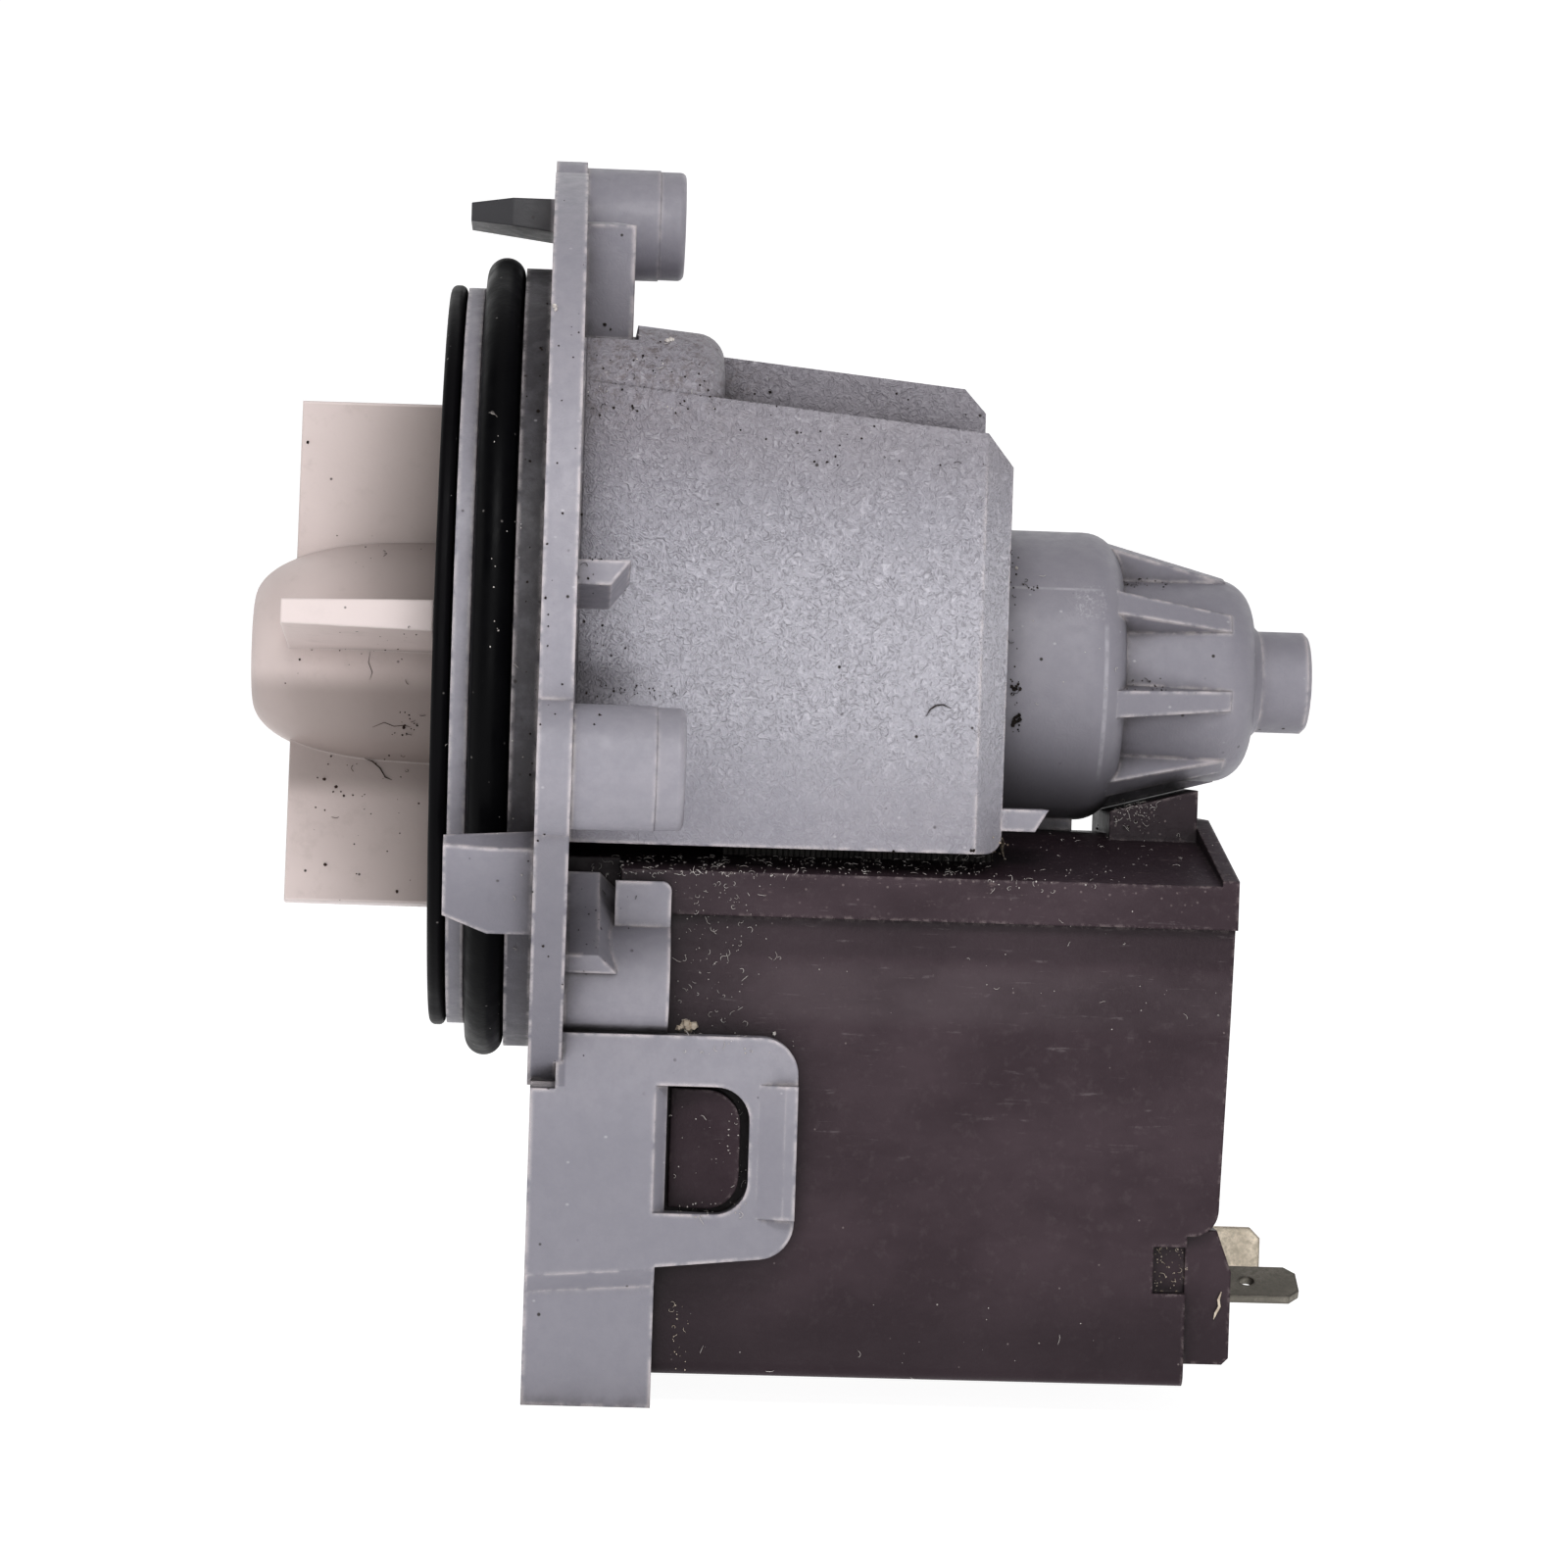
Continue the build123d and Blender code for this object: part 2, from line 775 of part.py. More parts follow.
            # The coil block stands where the hook beneath it would be
            if abs(hook_middle.Y) < block_half_width and hook_middle.Z < block_side_top:
                continue
            with BuildSketch(outward_plane(boss_angle + offset_angle, hook_inner_radius)):
                with BuildLine():
                    Polyline(
                        (flange_thickness - overlap, -boss_side * hook_thickness / 2),
                        (flange_thickness - overlap, boss_side * hook_thickness / 2),
                        (flange_thickness + hook_length - hook_slant, boss_side * hook_thickness / 2),
                        (flange_thickness + hook_length, -boss_side * hook_thickness / 2),
                        close=True,
                    )
                make_face()
            extrude(amount=hook_outer_radius - hook_inner_radius)

    # Tapered fingers in front of the flange
    for boss_index in range(boss_count):
        finger_clock = boss_start_angle + boss_index * 360 / boss_count + finger_angle
        for share, drop, thickness, taper in (
            (0, 0, finger_root_thickness, 0),
            (finger_straight_share, 0, finger_root_thickness - overlap, 0),
            (1, finger_tip_drop, finger_tip_thickness, finger_side_taper),
        ):
            outer = finger_outer_radius - drop
            section = Plane(
                origin=(-finger_length * share, 0, 0), x_dir=clock_direction(finger_clock), z_dir=(-1, 0, 0)
            )
            with BuildSketch(section):
                with BuildLine():
                    Polyline(
                        (outer - thickness, finger_width / 2),
                        (outer, finger_width / 2),
                        (outer, taper - finger_width / 2),
                        (outer - thickness, taper - finger_width / 2),
                        close=True,
                    )
                make_face()
        loft(ruled=True)

    # Pocket, arms, tongues and guides on both sides
    add(side_form.part)
    mirror(side_form.part, about=Plane.XZ)

    # Bore for the rotor and its bearings, and the dish behind the back plate
    with BuildSketch(Plane.XY):
        with BuildLine():
            Polyline(
                (spigot_end - overrun, 0),
                (spigot_end - overrun, cup_flange_radius),
                (cup_seat, cup_flange_radius),
                (cup_seat, can_bore),
                (rear_pocket_front, can_bore),
                (rear_pocket_front, rear_pocket_radius),
                (rear_pocket_end, rear_pocket_radius),
                (rear_pocket_end, shaft_pocket_radius),
                (rear_pocket_end + shaft_pocket_depth, shaft_pocket_radius),
                (rear_pocket_end + shaft_pocket_depth, 0),
                close=True,
            )
        make_face()
        with BuildLine():
            Polyline(
                (spigot_end - overrun, mouth_tube_radius),
                (spigot_end - overrun, recess_radius),
                (recess_floor, recess_radius),
                (recess_floor, mouth_tube_radius),
                close=True,
            )
        make_face()
    revolve(axis=Axis.X, mode=Mode.SUBTRACT)
    with BuildSketch(Plane.YZ.offset(spigot_end + recess_rib_drop)):
        with PolarLocations((mouth_tube_radius + recess_radius) / 2, recess_rib_count):
            Rectangle(recess_radius - mouth_tube_radius + 2 * overlap, recess_rib_thickness)
    extrude(amount=recess_floor - spigot_end - recess_rib_drop)

    # Screw holes
    with Locations(Plane.YZ.offset(flange_thickness + boss_length)):
        with PolarLocations(boss_circle_radius, boss_count, start_angle=boss_start_angle):
            Hole(screw_hole_radius, depth=flange_thickness + boss_length)
motor_housing.part.label = "motor_housing"
export_step(motor_housing.part, "parts/motor_housing.step")

with BuildPart() as o_ring:
    with BuildSketch(Plane.XY):
        with Locations((-spigot_shoulder - groove_width / 2, seal_middle_radius)):
            Circle(seal_cord / 2)
    revolve(axis=Axis.X)
o_ring.part.label = "o_ring"
export_step(o_ring.part, "parts/o_ring.step")

# Disc that closes the housing, with a collar that holds the front bearing's cup
with BuildPart() as back_plate:
    with BuildSketch(Plane.XY) as section:
        with BuildLine():
            Polyline(
                (plate_front, seal_shelf_radius),
                (plate_front, plate_radius),
                (plate_back, plate_radius),
                (plate_back, plate_collar_radius),
                (cup_flange_front, plate_collar_radius),
                (cup_flange_front, plate_collar_radius - plate_collar_wall),
                (plate_back, plate_collar_radius - plate_collar_wall),
                (plate_back, seal_seat_radius + seal_seat_wall),
                (plate_front + seal_seat_depth, seal_seat_radius + seal_seat_wall),
                (plate_front + seal_seat_depth, seal_seat_radius),
                (plate_front + seal_shelf, seal_seat_radius),
                (plate_front + seal_shelf, seal_shelf_radius),
                close=True,
            )
        make_face()
        fillet(section.vertices().sort_by(Axis.Y)[-2:], plate_edge)
    revolve(axis=Axis.X)
back_plate.part.label = "back_plate"
export_step(back_plate.part, "parts/back_plate.step")

# Lip seal: a ring in the plate's seat with a lip that leans to the water side
with BuildPart() as shaft_seal:
    turned(
        (plate_front + seal_shelf, seal_lip_radius),
        (plate_front + seal_shelf, seal_seat_radius),
        (plate_front + seal_seat_depth, seal_seat_radius),
        (plate_front + seal_seat_depth, seal_lip_radius),
        (plate_front + seal_shelf + seal_seat_depth / 2, seal_lip_radius),
        (plate_front + seal_shelf + seal_seat_depth / 4, journal_radius),
        (plate_front + seal_shelf, journal_radius),
    )
shaft_seal.part.label = "shaft_seal"
export_step(shaft_seal.part, "parts/shaft_seal.step")

with BuildPart() as front_bearing_cup:
    turned(
        (cup_flange_front, cup_hole_radius),
        (cup_flange_front, cup_flange_radius),
        (cup_seat, cup_flange_radius),
        (cup_seat, cup_sleeve_radius),
        (front_bearing_rear, cup_sleeve_radius),
        (front_bearing_rear, bearing_radius),
        (front_bearing_front, bearing_radius),
        (front_bearing_front, cup_hole_radius),
    )
front_bearing_cup.part.label = "front_bearing_cup"
export_step(front_bearing_cup.part, "parts/front_bearing_cup.step")

with BuildPart() as rear_bearing_cup:
    turned(
        (rear_bearing_front, bearing_radius),
        (rear_bearing_front, rear_pocket_radius),
        (rear_pocket_end, rear_pocket_radius),
        (rear_pocket_end, cup_hole_radius),
        (rear_bearing_rear, cup_hole_radius),
        (rear_bearing_rear, bearing_radius),
    )
rear_bearing_cup.part.label = "rear_bearing_cup"
export_step(rear_bearing_cup.part, "parts/rear_bearing_cup.step")


def bearing_bush(front):
    """Plain bush with broken edges, from its front face."""
    with BuildSketch(Plane.YZ.offset(front)) as end:
        Circle(bearing_radius)
        Circle(journal_radius, mode=Mode.SUBTRACT)
    bush = extrude(end.sketch, amount=bearing_length)
    rims = bush.edges().filter_by(GeomType.CIRCLE)
    chamfer(rims.filter_by(lambda rim: rim.radius > journal_radius + bearing_edge), bearing_edge)


with BuildPart() as front_bearing:
    bearing_bush(front_bearing_front)
front_bearing.part.label = "front_bearing"
export_step(front_bearing.part, "parts/front_bearing.step")

with BuildPart() as rear_bearing:
    bearing_bush(rear_bearing_front)
rear_bearing.part.label = "rear_bearing"
export_step(rear_bearing.part, "parts/rear_bearing.step")


def thrust_washer(front):
    """Flat washer with a raised running face, from its front face."""
    for radius, thickness, mode in (
        (washer_radius, washer_thickness - washer_step, Mode.ADD),
        (washer_radius - washer_step, washer_thickness, Mode.ADD),
        (journal_radius, washer_thickness, Mode.SUBTRACT),
    ):
        with BuildSketch(Plane.YZ.offset(front)) as disc:
            Circle(radius)
        extrude(disc.sketch, amount=thickness, mode=mode)


with BuildPart() as front_thrust_washer:
    thrust_washer(front_bearing_rear + end_float)
front_thrust_washer.part.label = "front_thrust_washer"
export_step(front_thrust_washer.part, "parts/front_thrust_washer.step")

with BuildPart() as rear_thrust_washer:
    thrust_washer(rear_bearing_front - end_float - washer_thickness)
rear_thrust_washer.part.label = "rear_thrust_washer"
export_step(rear_thrust_washer.part, "parts/rear_thrust_washer.step")

with BuildPart() as rotor_shaft:
    with BuildSketch(Plane.YZ.offset(shaft_front)):
        Circle(shaft_radius)
    extrude(amount=shaft_rear - shaft_front)
    chamfer(rotor_shaft.edges().filter_by(GeomType.CIRCLE), shaft_edge)
rotor_shaft.part.label = "rotor_shaft"
export_step(rotor_shaft.part, "parts/rotor_shaft.step")

with BuildPart() as rotor_magnet:
    with BuildSketch(Plane.YZ.offset(magnet_front)):
        Circle(magnet_radius)
    extrude(amount=magnet_length)
    chamfer(rotor_magnet.edges().filter_by(GeomType.CIRCLE), magnet_edge)
    with BuildSketch(Plane.YZ.offset(magnet_front)):
        Circle(carrier_radius)
    extrude(amount=magnet_length, mode=Mode.SUBTRACT)
rotor_magnet.part.label = "rotor_magnet"
export_step(rotor_magnet.part, "parts/rotor_magnet.step")

# Plastic core moulded on the shaft, with a flange at each end of the magnet
with BuildPart() as magnet_carrier:
    turned(
        (carrier_front, shaft_radius),
        (carrier_front, carrier_radius),
        (magnet_front - carrier_flange_thickness, carrier_radius),
        (magnet_front - carrier_flange_thickness, magnet_radius - carrier_flange_drop),
        (magnet_front, magnet_radius - carrier_flange_drop),
        (magnet_front, carrier_radius),
        (magnet_rear, carrier_radius),
        (magnet_rear, magnet_radius - carrier_flange_drop),
        (magnet_rear + carrier_flange_thickness, magnet_radius - carrier_flange_drop),
        (magnet_rear + carrier_flange_thickness, carrier_radius),
        (carrier_rear, carrier_radius),
        (carrier_rear, shaft_radius),
    )
magnet_carrier.part.label = "magnet_carrier"
export_step(magnet_carrier.part, "parts/magnet_carrier.step")

# Driving vane on the shaft, free to swing between the impeller's padded stop faces
with BuildPart() as drive_dog:
    dog_front = chamber_front + dog_gap
    dog_rear = chamber_rear - dog_gap
    with BuildSketch(Plane.YZ.offset(dog_front)):
        Circle(dog_sleeve_radius)
        ring_sector(shaft_radius, chamber_radius - dog_gap, impeller_angle, dog_angle)
        Circle(shaft_radius, mode=Mode.SUBTRACT)
    extrude(amount=dog_rear - dog_front)
drive_dog.part.label = "drive_dog"
export_step(drive_dog.part, "parts/drive_dog.step")

# Impeller: bell-shaped hub, straight blades, and the stop inside the hub
with BuildPart() as impeller:
    with BuildSketch(Plane.XY):
        with BuildLine():
            nose = (hub_front, hub_nose_radius)
            skirt = (impeller_rear - hub_rear_straight, hub_rear_radius - hub_draft)
            Bezier(
                nose,
                (hub_front, hub_nose_radius + hub_nose_pull),
                (skirt[0] - hub_skirt_pull, skirt[1] - hub_skirt_drop),
                skirt,
            )
            Polyline(skirt, (impeller_rear, hub_rear_radius), (impeller_rear, 0), (hub_front, 0), nose)
        make_face()
    revolve(axis=Axis.X)
    for index in range(blade_count):
        with BuildSketch(outward_plane(impeller_angle + index * 360 / blade_count, 0)):
            with BuildLine():
                Polyline(
                    (impeller_rear - blade_length, -blade_front_thickness / 2),
                    (impeller_rear, -blade_rear_thickness / 2),
                    (impeller_rear, blade_rear_thickness / 2),
                    (impeller_rear - blade_length, blade_front_thickness / 2),
                    close=True,
                )
            make_face()
        extrude(amount=impeller_radius)
    with BuildSketch(Plane.XY):
        with BuildLine():
            Polyline(
                (chamber_front - tip_bore_depth, 0),
                (chamber_front - tip_bore_depth, journal_radius),
                (chamber_front, journal_radius),
                (chamber_front, chamber_radius),
                (chamber_rear, chamber_radius),
                (chamber_rear, chamber_radius + cover_seat),
                (impeller_rear + overrun, chamber_radius + cover_seat),
                (impeller_rear + overrun, 0),
                close=True,
            )
        make_face()
    revolve(axis=Axis.X, mode=Mode.SUBTRACT)
    with BuildSketch(Plane.YZ.offset(chamber_front - overlap)):
        ring_sector(stop_inner_radius, chamber_radius + overlap, impeller_angle + 180, stop_angle)
    extrude(amount=chamber_depth - dog_gap + overlap)
impeller.part.label = "impeller"
export_step(impeller.part, "parts/impeller.step")

# Rubber pad over both faces of the impeller's stop, joined by a web behind it
with BuildPart() as impeller_bumper:
    pad_start = chamber_front + seat_gap
    stop_rear = chamber_rear - dog_gap
    for side in (-1, 1):
        with BuildSketch(Plane.YZ.offset(pad_start)):
            ring_sector(
                stop_inner_radius,
                chamber_radius - seat_gap,
                impeller_angle + 180 + side * (stop_angle + bumper_angle) / 2,
                bumper_angle,
            )
        extrude(amount=stop_rear - pad_start)
    with BuildSketch(Plane.YZ.offset(stop_rear)):
        ring_sector(
            stop_inner_radius,
            chamber_radius - seat_gap,
            impeller_angle + 180,
            stop_angle + 2 * bumper_angle,
        )
    extrude(amount=bumper_web)
impeller_bumper.part.label = "impeller_bumper"
export_step(impeller_bumper.part, "parts/impeller_bumper.step")

with BuildPart() as hub_cover:
    with BuildSketch(Plane.YZ.offset(chamber_rear)):
        Circle(chamber_radius + cover_seat)
        Circle(journal_radius, mode=Mode.SUBTRACT)
    extrude(amount=cover_thickness)
hub_cover.part.label = "hub_cover"
export_step(hub_cover.part, "parts/hub_cover.step")

# Stack of sheets: two legs joined by a yoke, with the pole arcs cut in the legs
with BuildPart() as stator_core:
    with BuildSketch(Plane.YZ.offset(core_front)) as sheet:
        with BuildLine():
            Polyline(
                (-leg_outer, yoke_bottom),
                (leg_outer, yoke_bottom),
                (leg_outer, core_top),
                (leg_inner, core_top),
                (leg_inner, yoke_top),
                (-leg_inner, yoke_top),
                (-leg_inner, core_top),
                (-leg_outer, core_top),
                close=True,
            )
        make_face()
        fillet(sheet.vertices().filter_by(lambda corner: abs(corner.X) > leg_inner + overlap), core_corner)
        Circle(core_bore, mode=Mode.SUBTRACT)
        # Stepped pole arcs, which park the magnet off centre so that it starts
        for side_angle in (0, 180):
            ring_sector(
                can_radius,
                core_bore + pole_step,
                side_angle + pole_step_angle,
                pole_step_angle,
                mode=Mode.SUBTRACT,
            )
        rivet_places = [
            (side * (leg_outer - rivet_inset), height)
            for side in (-1, 1)
            for height in (core_top - rivet_inset, yoke_bottom + rivet_inset)
        ]
        with Locations(*rivet_places):
            Circle(rivet_radius, mode=Mode.SUBTRACT)
    extrude(amount=stack_length)
stator_core.part.label = "stator_core"
export_step(stator_core.part, "parts/stator_core.step")

with BuildPart() as core_rivets:
    with BuildSketch(Plane.YZ.offset(core_front)):
        with Locations(*rivet_places):
            Circle(rivet_radius)
    extrude(amount=stack_length)
    with BuildSketch(Plane.YZ.offset(core_rear)):
        with Locations(*rivet_places):
            Circle(rivet_head_radius)
    extrude(amount=rivet_head)
    chamfer(core_rivets.faces().sort_by(Axis.X)[-len(rivet_places):].edges(), rivet_head / 2)
core_rivets.part.label = "core_rivets"
export_step(core_rivets.part, "parts/core_rivets.step")


def bobbin(side):
    """Bobbin on one leg, with a seat for its terminal at the rear of its lower flange."""
    with BuildSketch(Plane.XY.offset(bobbin_bottom)) as tube:
        with Locations((core_middle, side * leg_middle)):
            Rectangle(tube_length, tube_width)
    extrude(tube.sketch, amount=bobbin_top - bobbin_bottom)
    for height in (bobbin_bottom, bobbin_top - bobbin_flange):
        with BuildSketch(Plane.XY.offset(height)) as flange:
            with Locations((core_middle, side * leg_middle)):
                RectangleRounded(wound_length, wound_width, winding_depth)
        extrude(flange.sketch, amount=bobbin_flange)
    tab_offset = tab_far_offset if side > 0 else tab_near_offset
    seat_top = bobbin_bottom + bobbin_flange
    seat_bottom = tab_height - terminal_seat_height / 2
    with BuildSketch(Plane.YZ.offset(bobbin_rear - winding_depth)) as seat:
        with Locations((tab_offset, (seat_top + seat_bottom) / 2)):
            Rectangle(tab_width + 2 * bobbin_wall, seat_top - seat_bottom)
    extrude(seat.sketch, amount=winding_depth + terminal_seat_length)
    with BuildSketch(Plane.XY.offset(bobbin_bottom - overrun)) as leg_window:
        with Locations((core_middle, side * leg_middle)):
            Rectangle(window_length, window_width)
    extrude(leg_window.sketch, amount=bobbin_top - bobbin_bottom + 2 * overrun, mode=Mode.SUBTRACT)


def winding(side):
    """Wire pack between a bobbin's flanges."""
    with BuildSketch(Plane.XY.offset(wound_bottom)) as pack:
        with Locations((core_middle, side * leg_middle)):
            RectangleRounded(wound_length, wound_width, winding_depth)
            Rectangle(tube_length, tube_width, mode=Mode.SUBTRACT)
    extrude(pack.sketch, amount=wound_top - wound_bottom)


def terminal(offset, height, tilt):
    """Plug tab with a chamfered tip and a detent hole, turned about its own axis."""
    tab_plane = Plane(origin=(0, offset, height), x_dir=(1, 0, 0), z_dir=clock_direction(tilt))
    with BuildSketch(tab_plane) as blade:
        with BuildLine():
            Polyline(
                (tab_root, -tab_width / 2),
                (tab_tip, -tab_width / 2),
                (tab_tip, tab_width / 2),
                (tab_root, tab_width / 2),
                close=True,
            )
        make_face()
        chamfer(blade.vertices().sort_by(Axis.X)[-2:], tab_tip_chamfer)
        with Locations((tab_tip - tab_hole_inset, 0)):
            Circle(tab_hole_radius, mode=Mode.SUBTRACT)
    extrude(blade.sketch, amount=tab_thickness / 2, both=True)


with BuildPart() as terminal_near:
    terminal(tab_near_offset, tab_height - tab_near_drop, 90 + tab_near_tilt)
terminal_near.part.label = "terminal_near"
export_step(terminal_near.part, "parts/terminal_near.step")

with BuildPart() as terminal_far:
    terminal(tab_far_offset, tab_height, 0)
terminal_far.part.label = "terminal_far"
export_step(terminal_far.part, "parts/terminal_far.step")

with BuildPart() as bobbin_near:
    bobbin(-1)
    add(terminal_near.part, mode=Mode.SUBTRACT)
bobbin_near.part.label = "bobbin_near"
export_step(bobbin_near.part, "parts/bobbin_near.step")

with BuildPart() as bobbin_far:
    bobbin(1)
    add(terminal_far.part, mode=Mode.SUBTRACT)
bobbin_far.part.label = "bobbin_far"
export_step(bobbin_far.part, "parts/bobbin_far.step")

with BuildPart() as winding_near:
    winding(-1)
winding_near.part.label = "winding_near"
export_step(winding_near.part, "parts/winding_near.step")

with BuildPart() as winding_far:
    winding(1)
winding_far.part.label = "winding_far"
export_step(winding_far.part, "parts/winding_far.step")

# Wire that joins the two windings in series
with BuildPart() as link_wire:
    wire_start = leg_middle - wound_width / 2
    wire_x = core_middle + wound_length / 2 * wire_offset_share - winding_depth
    wire_z = wound_bottom + (wound_top - wound_bottom) * wire_height_share
    with BuildSketch(Plane.XZ):
        with Locations((wire_x, wire_z)):
            Circle(wire_radius)
    extrude(amount=wire_start, both=True)
link_wire.part.label = "link_wire"
export_step(link_wire.part, "parts/link_wire.step")

# Dark block moulded round the coils and the lower half of the stack
with BuildPart() as coil_overmould:
    with BuildSketch(Plane.YZ.offset(block_front)) as block_end:
        with BuildLine():
            outline = Polyline(
                (0, block_ridge),
                (block_ridge_half_width, block_ridge),
                (block_half_width, block_side_top),
                (block_half_width, block_side_top - block_lip),
                (block_half_width - block_recess, block_side_top - block_lip),
                (block_half_width - block_waist, block_side_top - block_lip - block_recess_drop),
                (block_half_width - block_waist, block_bottom),
                (0, block_bottom),
            )
            mirror(outline, about=Plane.YZ)
        make_face()
        fillet(block_end.vertices().group_by(Axis.Y)[0], block_edge)
    extrude(amount=block_rear - block_front)
    # Rear face leans in towards the bottom and steps back above the terminals
    with BuildSketch(Plane.XZ) as rear_cut:
        with BuildLine():
            Polyline(
                (block_rear + overrun, block_ridge + overrun),
                (block_rear, block_side_top),
                (block_rear - block_rear_draft, block_step_height),
                (block_lower_rear, block_step_height),
                (block_lower_rear, block_bottom - overrun),
                (block_rear + overrun, block_bottom - overrun),
                close=True,
            )
        make_face()
        step_corner = (block_rear - block_rear_draft, block_step_height)
        fillet(rear_cut.vertices().sort_by_distance(step_corner)[0], block_corner)
    extrude(amount=block_half_width + overrun, both=True, mode=Mode.SUBTRACT)
    # Saddle under the ribbed tail
    rib_fall = (can_radius - rib_front_drop - tail_radius) / (rib_rear - rib_front)
    rib_lean = cos(radians(rib_start_angle))
    rib_crown = can_radius - rib_front_drop
    with BuildSketch(Plane.XZ):
        with BuildLine():
            Polyline(
                (saddle_front, block_side_top),
                (saddle_rear, block_side_top),
                (saddle_rear, (rib_fall * (saddle_rear - rib_front) - rib_crown) * rib_lean - saddle_gap),
                (saddle_front, (rib_fall * (saddle_front - rib_front) - rib_crown) * rib_lean - saddle_gap),
                close=True,
            )
        make_face()
    extrude(amount=saddle_half_width, both=True)
    # Rim along the rear edge of the block's top
    with BuildSketch(Plane.YZ.offset(saddle_rear)):
        with BuildLine():
            rim_side = Polyline(
                (0, block_ridge + rim_rise),
                (block_ridge_half_width, block_ridge + rim_rise),
                (block_half_width, block_side_top + rim_side_rise),
                (block_half_width, block_side_top - block_lip),
                (0, block_side_top - block_lip),
            )
            mirror(rim_side, about=Plane.YZ)
        make_face()
    extrude(amount=block_rear - saddle_rear)
    # Corner reliefs behind the flange's hooks
    with BuildSketch(Plane.YZ.offset(block_front - overrun)):
        for side in (-1, 1):
            with Locations((side * block_half_width, block_side_top - relief_drop / 2 + overrun)):
                Rectangle(2 * relief_width, relief_drop + 2 * overrun)
    extrude(amount=relief_depth + overrun, mode=Mode.SUBTRACT)
    # Terminal housing with a sloping top
    with BuildSketch(Plane.XZ) as housing_side:
        with BuildLine():
            Polyline(
                (housing_front, housing_bottom),
                (housing_rear, housing_bottom),
                (housing_rear, housing_top),
                (housing_rear - housing_slope_run, block_step_height + overlap),
                (housing_front, block_step_height + overlap),
                close=True,
            )
        make_face()
        chamfer(housing_side.vertices().sort_by_distance((housing_rear, housing_bottom))[0], housing_edge)
    extrude(amount=housing_half_width, both=True)
    # Shallow recess in each side, ahead of the terminals
    for side in (-1, 1):
        with BuildSketch(Plane.XZ.offset(side * (block_half_width - block_waist - side_recess_depth))):
            with Locations((
                block_lower_rear - side_recess_length / 2,
                block_step_height - side_recess_drop - side_recess_height / 2,
            )):
                Rectangle(side_recess_length, side_recess_height)
        extrude(amount=side * (side_recess_depth + overrun), mode=Mode.SUBTRACT)
    # Snap buttons: a ramp with a rounded rear, inside each arm's window
    for side in (-1, 1):
        with BuildSketch(Plane.XZ.offset(-side * (block_half_width - block_waist - overlap))) as button:
            with BuildLine():
                Polyline(
                    (window_front + button_gap, window_bottom + button_gap),
                    (window_rear - button_rear_gap, window_bottom + button_gap),
                    (window_rear - button_rear_gap, window_top - button_gap),
                    (window_front + button_gap, window_top - button_gap),
                    close=True,
                )
            make_face()
            fillet(button.vertices().sort_by(Axis.X)[-2:], window_corner)
        extrude(amount=-side * (overlap + block_waist + button_high))
        with BuildSketch(Plane.XY.offset(window_bottom)):
            with BuildLine():
                Polyline(
                    (window_front, side * (block_half_width + button_low)),
                    (window_rear, side * (block_half_width + button_high)),
                    (window_rear, side * (block_half_width + button_high + overrun)),
                    (window_front, side * (block_half_width + button_high + overrun)),
                    close=True,
                )
            make_face()
        extrude(amount=window_top - window_bottom, mode=Mode.SUBTRACT)
    for inner_piece in (
        stator_core, core_rivets, bobbin_near, bobbin_far, winding_near, winding_far, link_wire,
        terminal_near, terminal_far,
    ):
        add(inner_piece.part, mode=Mode.SUBTRACT)
coil_overmould.part.label = "coil_overmould"
export_step(coil_overmould.part, "parts/coil_overmould.step")
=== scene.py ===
import math
import random

import bpy
from mathutils import Matrix, Vector
from mathutils.bvhtree import BVHTree


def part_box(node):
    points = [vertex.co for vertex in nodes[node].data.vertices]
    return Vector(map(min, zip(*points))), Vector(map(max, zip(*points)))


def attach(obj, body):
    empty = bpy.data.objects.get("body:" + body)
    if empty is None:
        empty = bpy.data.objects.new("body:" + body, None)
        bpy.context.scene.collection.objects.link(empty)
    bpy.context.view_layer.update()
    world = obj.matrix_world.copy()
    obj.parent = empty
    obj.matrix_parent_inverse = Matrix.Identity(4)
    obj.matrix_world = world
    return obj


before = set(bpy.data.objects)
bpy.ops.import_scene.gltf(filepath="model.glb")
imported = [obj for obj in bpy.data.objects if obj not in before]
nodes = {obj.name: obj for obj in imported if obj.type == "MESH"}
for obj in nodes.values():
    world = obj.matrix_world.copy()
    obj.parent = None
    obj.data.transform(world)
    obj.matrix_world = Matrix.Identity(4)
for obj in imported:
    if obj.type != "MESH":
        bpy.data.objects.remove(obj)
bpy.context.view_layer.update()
MM = 0.001


